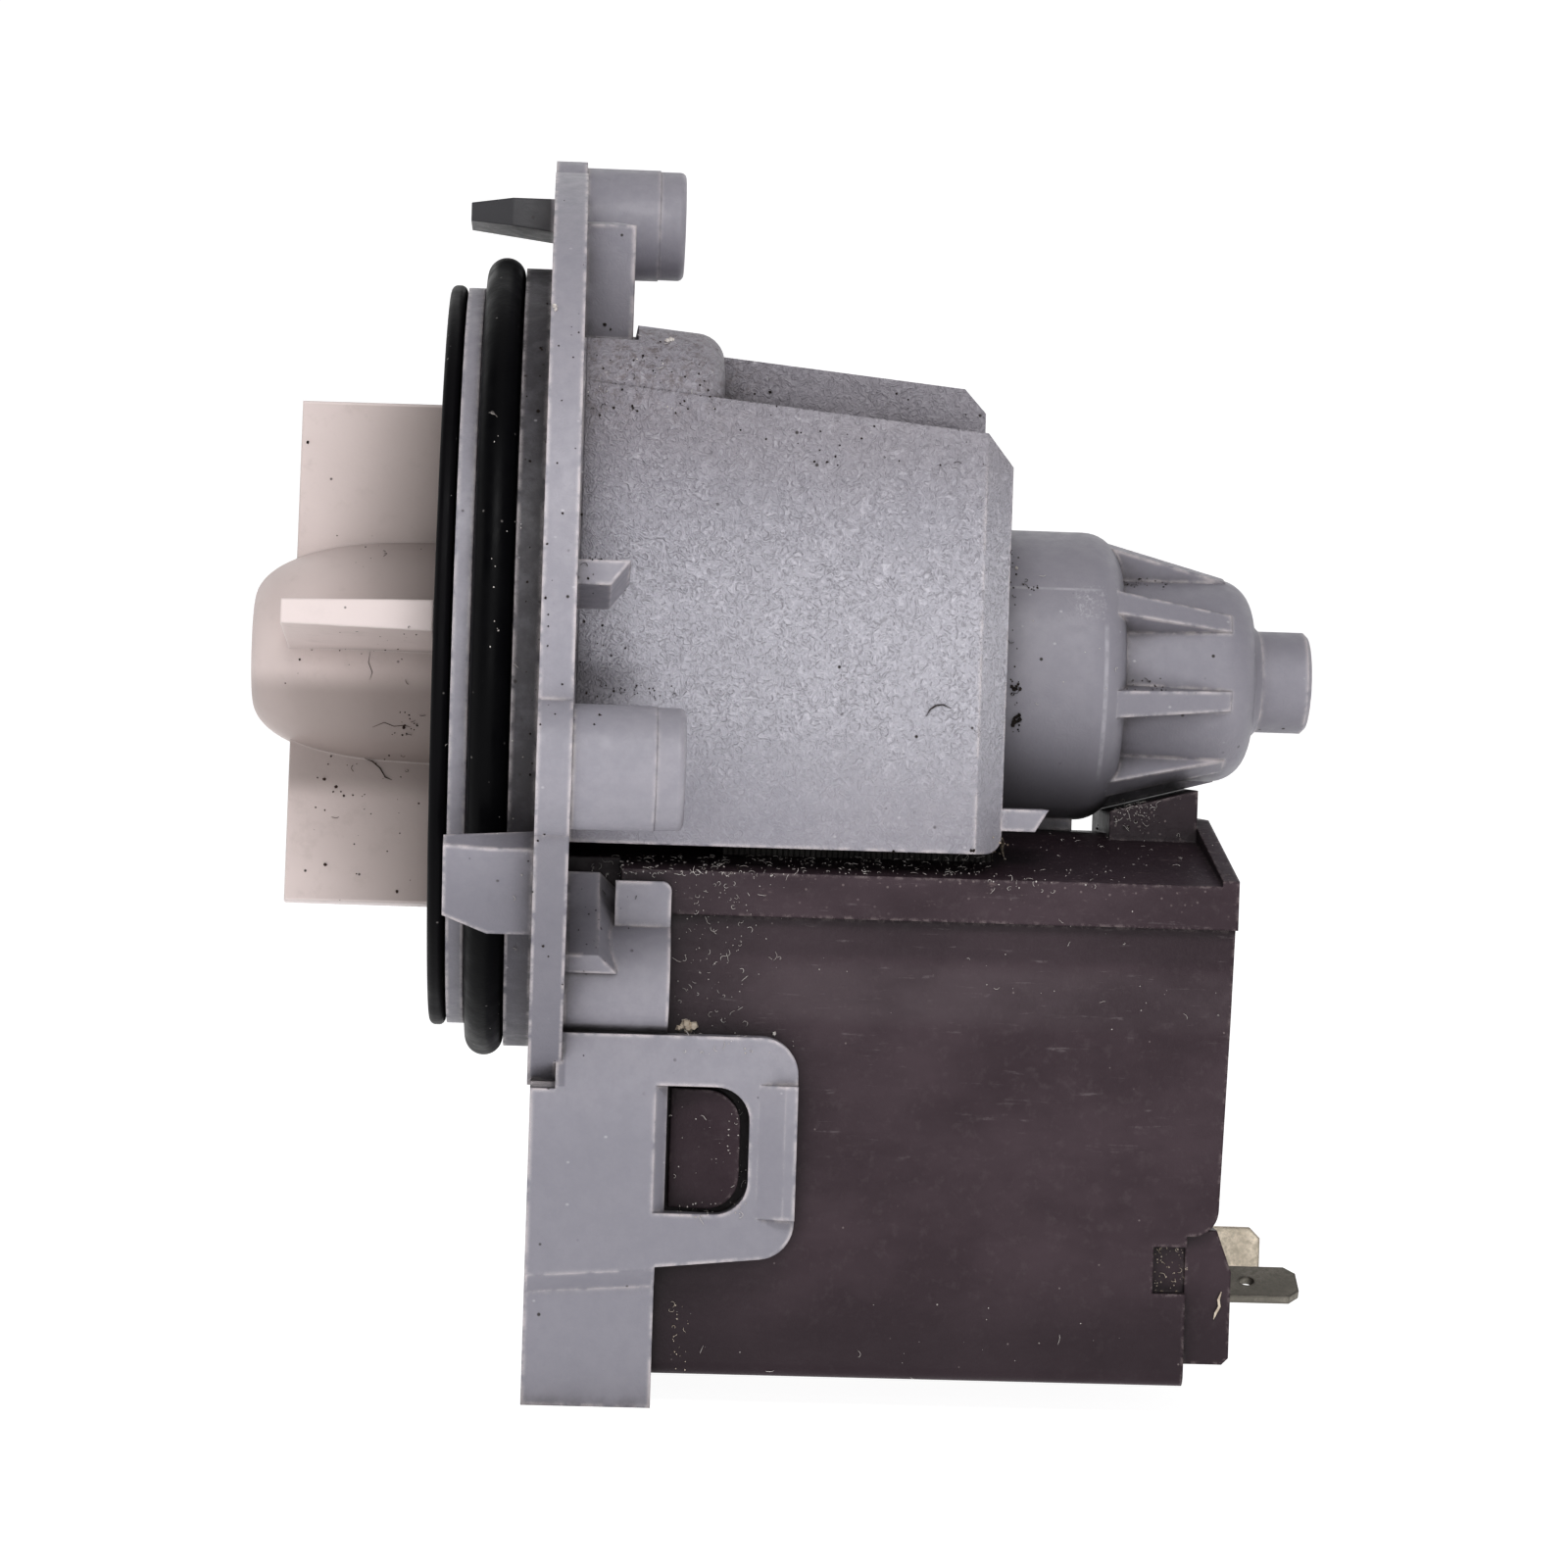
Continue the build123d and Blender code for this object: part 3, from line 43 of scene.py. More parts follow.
class Shade:
    """One material and the nodes that make its colour, gloss and relief. Sizes are in millimetres."""

    def __init__(self, name):
        self.material = bpy.data.materials.new(name)
        self.material.use_nodes = True
        self.tree = self.material.node_tree
        self.shader = self.tree.nodes["Principled BSDF"]
        self.place = self.tree.nodes.new("ShaderNodeTexCoord").outputs["Object"]
        axes = self.tree.nodes.new("ShaderNodeSeparateXYZ")
        self.feed(axes.inputs["Vector"], self.place)
        self.along, self.across, self.height = (axes.outputs[axis] for axis in "XYZ")
        self.colour = None

    def feed(self, socket, value):
        """Sets a socket, or links it when the value comes from another node."""
        if isinstance(value, bpy.types.NodeSocket):
            self.tree.links.new(value, socket)
        elif socket.type == "RGBA":
            socket.default_value = (*value, 1.0)
        else:
            socket.default_value = value

    def stretched(self, scale):
        """The place, stretched along X, Y and Z."""
        node = self.tree.nodes.new("ShaderNodeMapping")
        self.feed(node.inputs["Vector"], self.place)
        node.inputs["Scale"].default_value = scale
        return node.outputs["Vector"]

    def noise(self, size, detail=3.0, rough=0.55, place=None, twist=0.0):
        """Clouds of one size, between nought and one."""
        node = self.tree.nodes.new("ShaderNodeTexNoise")
        self.feed(node.inputs["Vector"], place or self.place)
        node.inputs["Scale"].default_value = 1.0 / (size * MM)
        node.inputs["Detail"].default_value = detail
        node.inputs["Roughness"].default_value = rough
        node.inputs["Distortion"].default_value = twist
        return node.outputs["Fac"]

    def cells(self, size, place=None):
        """Distance from the nearest of many scattered points, in cells."""
        node = self.tree.nodes.new("ShaderNodeTexVoronoi")
        self.feed(node.inputs["Vector"], place or self.place)
        node.inputs["Scale"].default_value = 1.0 / (size * MM)
        return node.outputs["Distance"]

    def spread(self, value, low, high, start=0.0, end=1.0):
        """Value brought from the range low to high to the range start to end, with soft ends."""
        node = self.tree.nodes.new("ShaderNodeMapRange")
        node.interpolation_type = "SMOOTHSTEP"
        self.feed(node.inputs["Value"], value)
        for name, number in (("From Min", low), ("From Max", high), ("To Min", start), ("To Max", end)):
            node.inputs[name].default_value = number
        return node.outputs["Result"]

    def maths(self, operation, first, second=0.0):
        node = self.tree.nodes.new("ShaderNodeMath")
        node.operation = operation
        self.feed(node.inputs[0], first)
        self.feed(node.inputs[1], second)
        return node.outputs["Value"]

    def radius(self):
        """Distance from the shaft, in metres."""
        squares = (self.maths("MULTIPLY", axis, axis) for axis in (self.across, self.height))
        return self.maths("SQRT", self.maths("ADD", *squares))

    def both(self, *masks):
        """Product of masks and shares."""
        result = masks[0]
        for mask in masks[1:]:
            result = self.maths("MULTIPLY", result, mask)
        return result

    def inverse(self, mask):
        return self.maths("SUBTRACT", 1.0, mask)

    def mix(self, share, first, second):
        node = self.tree.nodes.new("ShaderNodeMix")
        node.data_type = "RGBA"
        self.feed(node.inputs[0], share)
        self.feed(node.inputs[6], first)
        self.feed(node.inputs[7], second)
        return node.outputs[2]

    def ground(self, share, first, second):
        """Starts the colour with two tones, before anything is laid on it."""
        self.colour = self.mix(share, first, second)

    def lay(self, colour, *masks):
        """Lays a colour on, as strongly as the product of masks and shares says."""
        self.colour = self.mix(self.both(*masks), self.colour, colour)

    def past(self, axis, start, end):
        """Nought up to one place on an axis, one from another, in millimetres."""
        low, high = sorted((start * MM, end * MM))
        return self.spread(axis, low, high, float(start > end), float(start < end))

    def zone(self, axis, low, high, blend=0.4):
        """One inside a stretch of an axis, nought outside."""
        return self.both(self.past(axis, low - blend, low), self.past(axis, high + blend, high))

    def rounded(self, radius):
        """Normal that rounds the edges off by a small radius."""
        node = self.tree.nodes.new("ShaderNodeBevel")
        node.samples = 6
        node.inputs["Radius"].default_value = radius * MM
        return node.outputs["Normal"]

    def edges(self, radius, sharp=0.86):
        """One along the edges, nought on the open faces."""
        plain = self.tree.nodes.new("ShaderNodeNewGeometry").outputs["Normal"]
        node = self.tree.nodes.new("ShaderNodeVectorMath")
        node.operation = "DOT_PRODUCT"
        self.feed(node.inputs[0], self.rounded(radius))
        self.feed(node.inputs[1], plain)
        return self.spread(node.outputs["Value"], sharp, 0.995, 1.0, 0.0)

    def hollows(self, distance):
        """One deep in a corner, nought on the open faces."""
        node = self.tree.nodes.new("ShaderNodeAmbientOcclusion")
        node.samples = 6
        node.inputs["Distance"].default_value = distance * MM
        return self.spread(node.outputs["AO"], 0.25, 0.9, 1.0, 0.0)

    def relief(self, height, depth, base=None):
        """Normal of a relief that is so many millimetres deep."""
        node = self.tree.nodes.new("ShaderNodeBump")
        node.inputs["Distance"].default_value = depth * MM
        self.feed(node.inputs["Height"], height)
        if base is not None:
            self.feed(node.inputs["Normal"], base)
        return node.outputs["Normal"]

    def finish(self, rough, normal=None, metal=0.0, specular=0.5):
        self.feed(self.shader.inputs["Base Color"], self.colour)
        self.feed(self.shader.inputs["Roughness"], rough)
        self.shader.inputs["Metallic"].default_value = metal
        self.shader.inputs["Specular IOR Level"].default_value = specular
        if normal is not None:
            self.feed(self.shader.inputs["Normal"], normal)
        return self.material


# Places on the housing, in millimetres: along the shaft from the flange's front face, across and up.
# A mark fades in from a stretch's first place to its second, and fills the stretch in a zone
SHROUD_ALONG = (3.4, 42.4)
SHROUD_ACROSS = (-24.4, 24.4)
SHROUD_UP = (-16.6, 29.7)
SPIGOT_FRONT = (-5.4, -5.0)
SPIGOT_RADIUS = (38.4, 38.0)
FLANGE_FRONT = (0.3, -0.2)
FLANGE_BACK = (3.5, 3.2)
LOW_END = (-12.0, -24.0)
NEAR_FINGER_FOOT = (-38.1, -37.9)
UPPER_FINGER_ROOT = (-0.1, -0.5)
UPPER_FINGER_FOOT = (37.6, 38.4)
POCKET_TOP = (-36.0, -44.0)
CAN_ROOT = (42.2, 42.6)
CAN_RADIUS = (15.4, 15.0)
CAN_SHOULDER = (51.9, 52.05)
CAN_SEAM = (7.85, 7.95)
CAN_SEAM_END = (52.0, 50.5)
SCUFFS_ALONG = (49.5, 51.6)
SCUFFS_UP = (5.7, 7.8)
STUB_END = (80.0, 83.0)
NEAR_BOSS_TOP = (-4.0, -2.0)


def shroud_skin(shade, shroud, painted_top_shade, grain):
    """Spark-eroded skin, with a painted highlight band halfway up the shroud that fades towards its top and
    foot, and painted shade towards its top.
    """
    height = shade.height
    # Painted highlight: a lighter band halfway up the shroud, fading towards its top and foot
    painted_light_band = shade.both(shade.past(height, -15.0, -3.0), shade.past(height, 21.0, 3.0), shroud)
    shade.lay((0.56, 0.55, 0.60), painted_light_band, 0.72)
    # Painted shade: darker towards the top of the shroud
    shade.lay((0.30, 0.27, 0.28), painted_top_shade, 0.28)
    patches = shade.spread(shade.noise(5.0, 3.0), 0.3, 0.6, 0.5, 1.0)
    skin = shade.both(shroud, patches, shade.spread(height, -14.0 * MM, -3.0 * MM, 0.3, 1.0))
    skin = shade.both(skin, shade.spread(height, 8.0 * MM, 22.0 * MM, 1.0, 0.35))
    shade.lay((0.74, 0.72, 0.77), skin, shade.spread(grain, 0.52, 0.68), 0.42)
    shade.lay((0.17, 0.16, 0.175), skin, shade.spread(grain, 0.46, 0.32), 0.42)


def front_marks(shade):
    """Grime and painted shadow of the flange on the spigot in front of it, painted shade at the low end of
    flange and near finger.
    """
    along, height = shade.along, shade.height
    # Grime and painted shadow of the flange on the spigot
    spigot = shade.both(shade.past(along, *FLANGE_FRONT), shade.past(along, *SPIGOT_FRONT))
    spigot = shade.both(spigot, shade.past(shade.radius(), *SPIGOT_RADIUS))
    grime_and_shadow = shade.spread(shade.noise(2.2, 5.0, 0.7), 0.3, 0.6, 0.8, 1.0)
    shade.lay((0.06, 0.057, 0.063), spigot, grime_and_shadow, 0.93)
    # Painted shade at the low end of the flange and near finger
    low_end = shade.both(shade.past(along, *FLANGE_BACK), shade.past(height, *LOW_END))
    shade.lay((0.19, 0.185, 0.215), low_end, shade.past(height, *NEAR_FINGER_FOOT), 0.6)


def can_marks(shade, mottle):
    """Darker can with a seam, scuffs and a painted highlight along the shoulder, and the brown end of its
    stub.
    """
    along, height = shade.along, shade.height
    can = shade.both(shade.past(along, *CAN_ROOT), shade.past(shade.radius(), *CAN_RADIUS))
    shade.lay((0.26, 0.25, 0.285), can, 0.38)
    seam = shade.both(can, shade.zone(height, *CAN_SEAM, 0.12), shade.past(along, *CAN_SEAM_END))
    scuffs = shade.both(can, shade.zone(height, *SCUFFS_UP, 0.8), shade.zone(along, *SCUFFS_ALONG, 0.8))
    scuffs = shade.both(scuffs, shade.spread(shade.noise(0.5, 3.0, 0.7, twist=1.5), 0.52, 0.62))
    # Painted highlight: a pale line along the shoulder
    shoulder = shade.both(shade.zone(along, *CAN_SHOULDER, 0.25), shade.zone(height, -9.0, 4.0, 1.0))
    rubbed_and_highlight = shade.maths("MAXIMUM", seam, shade.maths("MAXIMUM", scuffs, shoulder))
    shade.lay((0.62, 0.60, 0.64), rubbed_and_highlight, shade.spread(mottle, 0.35, 0.6, 0.3, 1.0), 0.45)
    shade.lay((0.13, 0.11, 0.11), shade.past(along, *STUB_END), shade.past(height, 1.0, -3.0), 0.5)


def housing_dirt(shade, shroud, clouds):
    """Dirt and painted shade in the corners, painted shadow and dirt above the near boss, brown dust and
    painted shade on hood and roof, specks all over.
    """
    along, height = shade.along, shade.height
    # Dirt and painted shade in the corners
    stain_and_shade = shade.spread(shade.noise(3.2, 5.0, 0.65), 0.3, 0.62, 0.25, 1.0)
    shade.lay((0.06, 0.052, 0.052), shade.hollows(3.0), stain_and_shade, 0.8)
    # Painted shade further out from the corners
    shade.lay((0.10, 0.09, 0.092), shade.hollows(9.0), 0.3)
    # Brown dust and painted shade, heavier towards the top of hood and roof
    roof = shade.both(shroud, shade.past(height, 17.0, 27.0), shade.past(along, 26.0, 10.0))
    shade.lay((0.14, 0.11, 0.10), roof, shade.spread(shade.noise(0.7, 5.0, 0.8), 0.45, 0.66), 0.6)
    # Painted shadow and dirt above the near boss
    angle = shade.both(shade.past(along, 12.0, 3.0), shade.zone(height, *NEAR_BOSS_TOP, 2.8), shroud)
    angle = shade.both(angle, shade.past(shade.across, -20.0, -22.0))
    shade.lay((0.07, 0.062, 0.064), angle, shade.spread(clouds, 0.2, 0.6, 0.6, 1.0), 0.75)
    clusters = shade.spread(shade.noise(7.0, 2.0), 0.52, 0.62)
    shade.lay((0.04, 0.032, 0.03), shade.spread(shade.cells(1.9), 0.11, 0.05), clusters)
    flecks = shade.spread(shade.cells(2.9, shade.stretched((1.0, 1.0, 1.3))), 0.07, 0.03)
    shade.lay((0.7, 0.68, 0.7), flecks, 0.35)


def housing_material():
    """Grey moulding with an eroded skin on the shroud, dust, stains, worn pale edges, and painted light and
    shade.
    """
    shade = Shade("housing_grey")
    along, height = shade.along, shade.height
    shroud = shade.both(shade.zone(along, *SHROUD_ALONG, 0.2), shade.zone(shade.across, *SHROUD_ACROSS, 0.2))
    shroud = shade.both(shroud, shade.zone(height, *SHROUD_UP, 0.3))
    # Painted shade towards the top of the shroud
    painted_top_shade = shade.both(shroud, shade.past(height, 12.0, 22.0))
    clouds = shade.noise(16.0, 3.0)
    mottle = shade.noise(1.3, 4.0, 0.7)
    grain = shade.noise(0.68, 1.0, 0.6, twist=2.5)
    shade.ground(clouds, (0.345, 0.337, 0.383), (0.41, 0.39, 0.425))
    shade.lay((0.31, 0.305, 0.345), shade.spread(mottle, 0.3, 0.7), 0.4)
    shroud_skin(shade, shroud, painted_top_shade, grain)
    # Painted shade: the moulding darker round the pocket and its foot, low on the part
    shade.lay((0.27, 0.265, 0.305), shade.past(height, *POCKET_TOP), 0.52)
    front_marks(shade)
    can_marks(shade, mottle)
    # Upper finger darkened nearly to black, and pale rims on all but it and the top of the shroud with its
    # painted shade
    upper = shade.both(shade.past(along, *UPPER_FINGER_ROOT), shade.past(height, *UPPER_FINGER_FOOT))
    shade.lay((0.055, 0.055, 0.058), upper, 0.93)
    rim = shade.both(shade.edges(0.7, 0.93), shade.spread(shade.noise(1.8, 3.0, 0.6), 0.33, 0.6))
    shade.lay((0.84, 0.77, 0.77), rim, shade.inverse(painted_top_shade), shade.inverse(upper), 0.65)
    housing_dirt(shade, shroud, clouds)
    uneven = shade.both(shroud, shade.spread(height, -13.0 * MM, -5.0 * MM, 0.35, 1.0))
    bumps = shade.both(grain, shade.maths("ADD", shade.both(uneven, 0.88), 0.12))
    rough = shade.spread(mottle, 0.25, 0.75, 0.36, 0.54)
    return shade.finish(rough, shade.relief(bumps, 0.24, shade.rounded(0.3)), specular=0.4)


# Heights on the dark block, and a place along it, in millimetres
BLOCK_LIP = (-18.8, -17.5)
BLOCK_TOP = (-24.0, -18.0)
BELOW_LIP = (-25.5, -23.2)
SHEEN_BAND = (-31.0, -27.5)
SCRATCHED = (-42.0, -20.0)
BLOCK_FOOT = (-52.0, -62.0)
BLOCK_LEFT = (24.0, 14.0)


def block_material():
    """Brown-black moulding with soft clouds, dust along the top and scuffed edges."""
    shade = Shade("block_dark")
    along, height = shade.along, shade.height
    clouds = shade.noise(9.0, 4.0, 0.6, shade.stretched((0.6, 1.0, 1.0)))
    mottle = shade.noise(1.1, 4.0, 0.7)
    shade.ground(shade.spread(clouds, 0.3, 0.7), (0.046, 0.026, 0.035), (0.078, 0.051, 0.063))
    shade.lay((0.115, 0.092, 0.100), shade.spread(mottle, 0.5, 0.75), 0.4)
    # Painted sheen: a lighter band, and painted shade in the darker stretch between it and the lip
    band = shade.both(shade.zone(height, *SHEEN_BAND, 1.6), shade.past(along, 12.0, 26.0))
    shade.lay((0.14, 0.115, 0.125), band, shade.spread(clouds, 0.25, 0.6, 0.4, 1.0), 0.25)
    shade.lay((0.026, 0.014, 0.02), shade.zone(height, *BELOW_LIP, 1.0), 0.35)
    # Fine scratches drawn along the block
    drawn = shade.noise(0.45, 3.0, 0.6, shade.stretched((0.09, 1.0, 1.0)), 0.4)
    scratched = shade.both(shade.spread(drawn, 0.62, 0.72), shade.zone(height, *SCRATCHED, 4.0))
    shade.lay((0.24, 0.21, 0.22), scratched, shade.spread(mottle, 0.4, 0.6), 0.35)
    # Painted shade on the foot and top face, scuffed rims
    ends = shade.maths("ADD", shade.past(height, *BLOCK_FOOT), shade.past(height, *BLOCK_LIP))
    shade.lay((0.028, 0.016, 0.022), ends, 0.6)
    rim = shade.both(shade.edges(0.6, 0.93), shade.spread(shade.noise(0.8, 4.0, 0.75), 0.46, 0.62))
    shade.lay((0.30, 0.25, 0.25), rim, 0.6)
    # Scuffs and dust along the top, pale flecks all over
    upper = shade.past(height, *BLOCK_TOP)
    scuffs = shade.spread(shade.noise(0.9, 5.0, 0.8, shade.stretched((0.45, 1.0, 1.0))), 0.6, 0.7)
    shade.lay((0.30, 0.24, 0.235), upper, scuffs, 0.5)
    shade.lay((0.40, 0.34, 0.33), upper, shade.spread(shade.cells(0.9), 0.16, 0.08), 0.4)
    shade.lay((0.45, 0.39, 0.38), shade.spread(shade.cells(2.6), 0.045, 0.02), 0.4)
    # Shaded left end and corners
    shade.lay((0.022, 0.012, 0.017), shade.past(along, *BLOCK_LEFT), 0.35)
    shade.lay((0.012, 0.008, 0.009), shade.hollows(3.0), 0.85)
    normal = shade.relief(shade.noise(0.5, 3.0, 0.7), 0.04, shade.rounded(0.3))
    return shade.finish(shade.spread(mottle, 0.2, 0.8, 0.36, 0.52), normal, specular=0.35)


# Places on the impeller, in millimetres
BLADES_ALONG = (-26.0, -9.0)
NEAR_BLADE = (-9.0, -13.0)
UNDER_HUB = (-11.5, -4.0)
NOSE_ALONG = (-21.0, -25.5)
NOSE_RADIUS = (14.0, 12.5)
BLADE_END_RADIUS = (23.4, 23.6)


def impeller_material():
    """Pale warm moulding with light grime and dark specks, painted shade towards the disc and in the corners,
    and a painted shadow under the hub.
    """
    shade = Shade("impeller_pale")
    along, across = shade.along, shade.across
    clouds = shade.noise(11.0, 3.0)
    shade.ground(clouds, (0.80, 0.70, 0.68), (0.72, 0.63, 0.61))
    # Painted shade: darker towards the disc, sparing the near blade
    unshaded_near_blade = shade.both(shade.past(across, *NEAR_BLADE), 0.75)
    shade.lay((0.33, 0.28, 0.265), shade.past(along, *BLADES_ALONG), shade.inverse(unshaded_near_blade), 0.7)
    # Painted shadow under the hub
    under = shade.both(shade.zone(shade.height, *UNDER_HUB, 2.5), shade.past(across, 2.0, -4.0))
    shade.lay((0.25, 0.205, 0.19), under, 0.62)
    shade.lay((0.33, 0.28, 0.255), shade.spread(shade.noise(2.4, 5.0, 0.7), 0.52, 0.72), 0.12)
    # Painted shade in the corners
    shade.lay((0.22, 0.18, 0.165), shade.hollows(3.5), 0.4)
    # Dull nose, painted highlight on the end faces of the blades, pale edges
    nose = shade.both(shade.past(along, *NOSE_ALONG), shade.past(shade.radius(), *NOSE_RADIUS))
    shade.lay((0.52, 0.45, 0.435), nose, 0.4)
    shade.lay((0.86, 0.77, 0.76), shade.past(shade.radius(), *BLADE_END_RADIUS), 0.6)
    shade.lay((0.93, 0.87, 0.85), shade.edges(0.3), 0.3)
    clusters = shade.spread(shade.noise(6.0, 2.0), 0.5, 0.6)
    shade.lay((0.05, 0.035, 0.03), shade.spread(shade.cells(2.7), 0.07, 0.03), clusters)
    normal = shade.relief(shade.noise(0.8, 3.0, 0.6), 0.02, shade.rounded(0.35))
    return shade.finish(shade.spread(clouds, 0.2, 0.8, 0.38, 0.5), normal, specular=0.4)


def black_material(name, low, high, rough, dust, size):
    """Black rubber or moulding with faint clouds of a size, a fine skin and pale dust."""
    shade = Shade(name)
    clouds = shade.noise(size, 4.0, 0.65)
    shade.ground(clouds, low, high)
    shade.lay((0.05, 0.048, 0.05), shade.edges(0.25), 0.2)
    shade.lay((0.34, 0.32, 0.31), shade.spread(shade.cells(1.9), 0.08, 0.03), dust)
    lint = shade.spread(shade.noise(0.7, 5.0, 0.8), 0.68, 0.76)
    shade.lay((0.22, 0.21, 0.21), lint, dust, 0.5)
    normal = shade.relief(shade.noise(0.45, 3.0, 0.6), 0.02, shade.rounded(0.2))
    return shade.finish(shade.spread(clouds, 0.25, 0.75, *rough), normal, specular=0.1)


def metal_material(name, low, high, rough, grain, lines=(1.0, 1.0, 1.0)):
    """Metal with a fine speckle, or with lines drawn along one way, and tarnished edges."""
    shade = Shade(name)
    speckle = shade.noise(grain, 4.0, 0.7, shade.stretched(lines))
    clouds = shade.noise(grain * 8, 3.0)
    shade.ground(shade.spread(speckle, 0.3, 0.7), low, high)
    shade.lay(low, shade.spread(clouds, 0.35, 0.65), 0.55)
    tarnish = shade.both(shade.edges(0.45, 0.93), shade.spread(speckle, 0.35, 0.55, 0.4, 1.0))
    shade.lay((0.10, 0.09, 0.08), tarnish, 0.6)
    normal = shade.relief(speckle, 0.03, shade.rounded(0.15))
    return shade.finish(shade.spread(speckle, 0.3, 0.7, *rough), normal, metal=1.0)


def plain_material(name, low, high, rough, size):
    """Smooth moulding, ceramic or ferrite with a faint mottle of a size."""
    shade = Shade(name)
    fine = shade.noise(size, 4.0, 0.7)
    shade.ground(shade.noise(size * 5, 3.0), low, high)
    shade.lay(low, shade.spread(fine, 0.55, 0.75), 0.3)
    normal = shade.relief(fine, 0.02, shade.rounded(0.2))
    return shade.finish(shade.spread(fine, 0.2, 0.8, rough - 0.06, rough + 0.08), normal)


SHEET_PITCH = 0.5
WIRE_PITCH = 0.3


def stack_material():
    """Stack of sheets seen edge-on: a line at each sheet, matt and rusty, darkened all over by painted shade
    that is deepest in its corners.
    """
    shade = Shade("stack_sheets")
    phase = shade.maths("FRACT", shade.maths("DIVIDE", shade.along, SHEET_PITCH * MM))
    seam = shade.spread(shade.maths("ABSOLUTE", shade.maths("SUBTRACT", phase, 0.5)), 0.32, 0.48)
    clouds = shade.noise(4.0, 4.0, 0.65)
    shade.ground(clouds, (0.34, 0.32, 0.30), (0.20, 0.185, 0.17))
    shade.lay((0.16, 0.08, 0.05), shade.spread(shade.noise(1.6, 5.0, 0.7), 0.55, 0.72), 0.6)
    shade.lay((0.03, 0.027, 0.025), seam, 0.7)
    # Painted shade, deepest in the corners
    shade.lay((0.016, 0.014, 0.014), shade.spread(shade.hollows(4.0), 0.0, 0.6, 0.35, 0.95))
    normal = shade.relief(shade.inverse(seam), 0.08, shade.rounded(0.1))
    return shade.finish(shade.spread(clouds, 0.2, 0.8, 0.5, 0.7), normal, metal=0.5, specular=0.3)


def winding_material():
    """Wound wire: fine turns across the leg, in red-brown enamel."""
    shade = Shade("winding_wire")
    phase = shade.maths("FRACT", shade.maths("DIVIDE", shade.height, WIRE_PITCH * MM))
    crown = shade.inverse(shade.maths("ABSOLUTE", shade.maths("SUBTRACT", phase, 0.5)))
    shade.ground(shade.noise(3.0, 3.0), (0.40, 0.13, 0.05), (0.60, 0.24, 0.10))
    shade.lay((0.08, 0.02, 0.01), shade.spread(crown, 0.5, 0.72, 0.7, 0.0))
    return shade.finish(0.28, shade.relief(crown, 0.12), metal=0.6)


# What each node is made of
carbon = plain_material("bearing_carbon", (0.04, 0.04, 0.043), (0.065, 0.065, 0.068), rough=0.5, size=0.4)
ceramic = plain_material("washer_ceramic", (0.72, 0.70, 0.66), (0.82, 0.80, 0.77), rough=0.35, size=0.5)
pale_plastic = plain_material("moulding_pale", (0.50, 0.48, 0.43), (0.62, 0.59, 0.54), rough=0.5, size=0.6)
cup_rubber = black_material(
    "cup_rubber", (0.02, 0.02, 0.021), (0.04, 0.04, 0.042), rough=(0.55, 0.75), dust=0.2, size=2.0)
winding_wire = winding_material()
coats = {
    "motor_housing": housing_material(),
    "coil_overmould": block_material(),
    "impeller": impeller_material(),
    "o_ring": black_material(
        "ring_rubber", (0.002, 0.002, 0.003), (0.006, 0.006, 0.007), rough=(0.3, 0.5), dust=0.5, size=3.0),
    "back_plate": black_material(
        "plate_black", (0.003, 0.003, 0.004), (0.009, 0.008, 0.01), rough=(0.36, 0.55), dust=0.6, size=5.0),
    "shaft_seal": cup_rubber,
    "front_bearing_cup": cup_rubber,
    "rear_bearing_cup": cup_rubber,
    "impeller_bumper": cup_rubber,
    "front_bearing": carbon,
    "rear_bearing": carbon,
    "front_thrust_washer": ceramic,
    "rear_thrust_washer": ceramic,
    "rotor_shaft": metal_material(
        "shaft_ground", (0.50, 0.50, 0.51), (0.70, 0.70, 0.71), rough=(0.16, 0.3), grain=0.2,
        lines=(0.1, 1.0, 1.0)),
    "rotor_magnet": plain_material(
        "magnet_ferrite", (0.045, 0.043, 0.045), (0.075, 0.072, 0.074), rough=0.45, size=0.7),
    "magnet_carrier": pale_plastic,
    "drive_dog": pale_plastic,
    "hub_cover": pale_plastic,
    "bobbin_near": pale_plastic,
    "bobbin_far": pale_plastic,
    "stator_core": stack_material(),
    "core_rivets": metal_material(
        "rivet_plated", (0.38, 0.37, 0.35), (0.60, 0.59, 0.56), rough=(0.3, 0.5), grain=0.5),
    # The near tab is the same tinned metal as the far tab, darkened as painted shade
    "terminal_near": metal_material(
        "tab_shaded", (0.20, 0.19, 0.165), (0.40, 0.375, 0.335), rough=(0.4, 0.6), grain=0.5),
    "terminal_far": metal_material(
        "tab_bright", (0.38, 0.34, 0.28), (0.84, 0.76, 0.65), rough=(0.28, 0.5), grain=0.6),
    "winding_near": winding_wire,
    "winding_far": winding_wire,
    "link_wire": winding_wire,
}
for name, material in coats.items():
    slots = nodes[name].data.materials
    if not slots:
        slots.append(material)
    for index in range(len(slots)):
        slots[index] = material


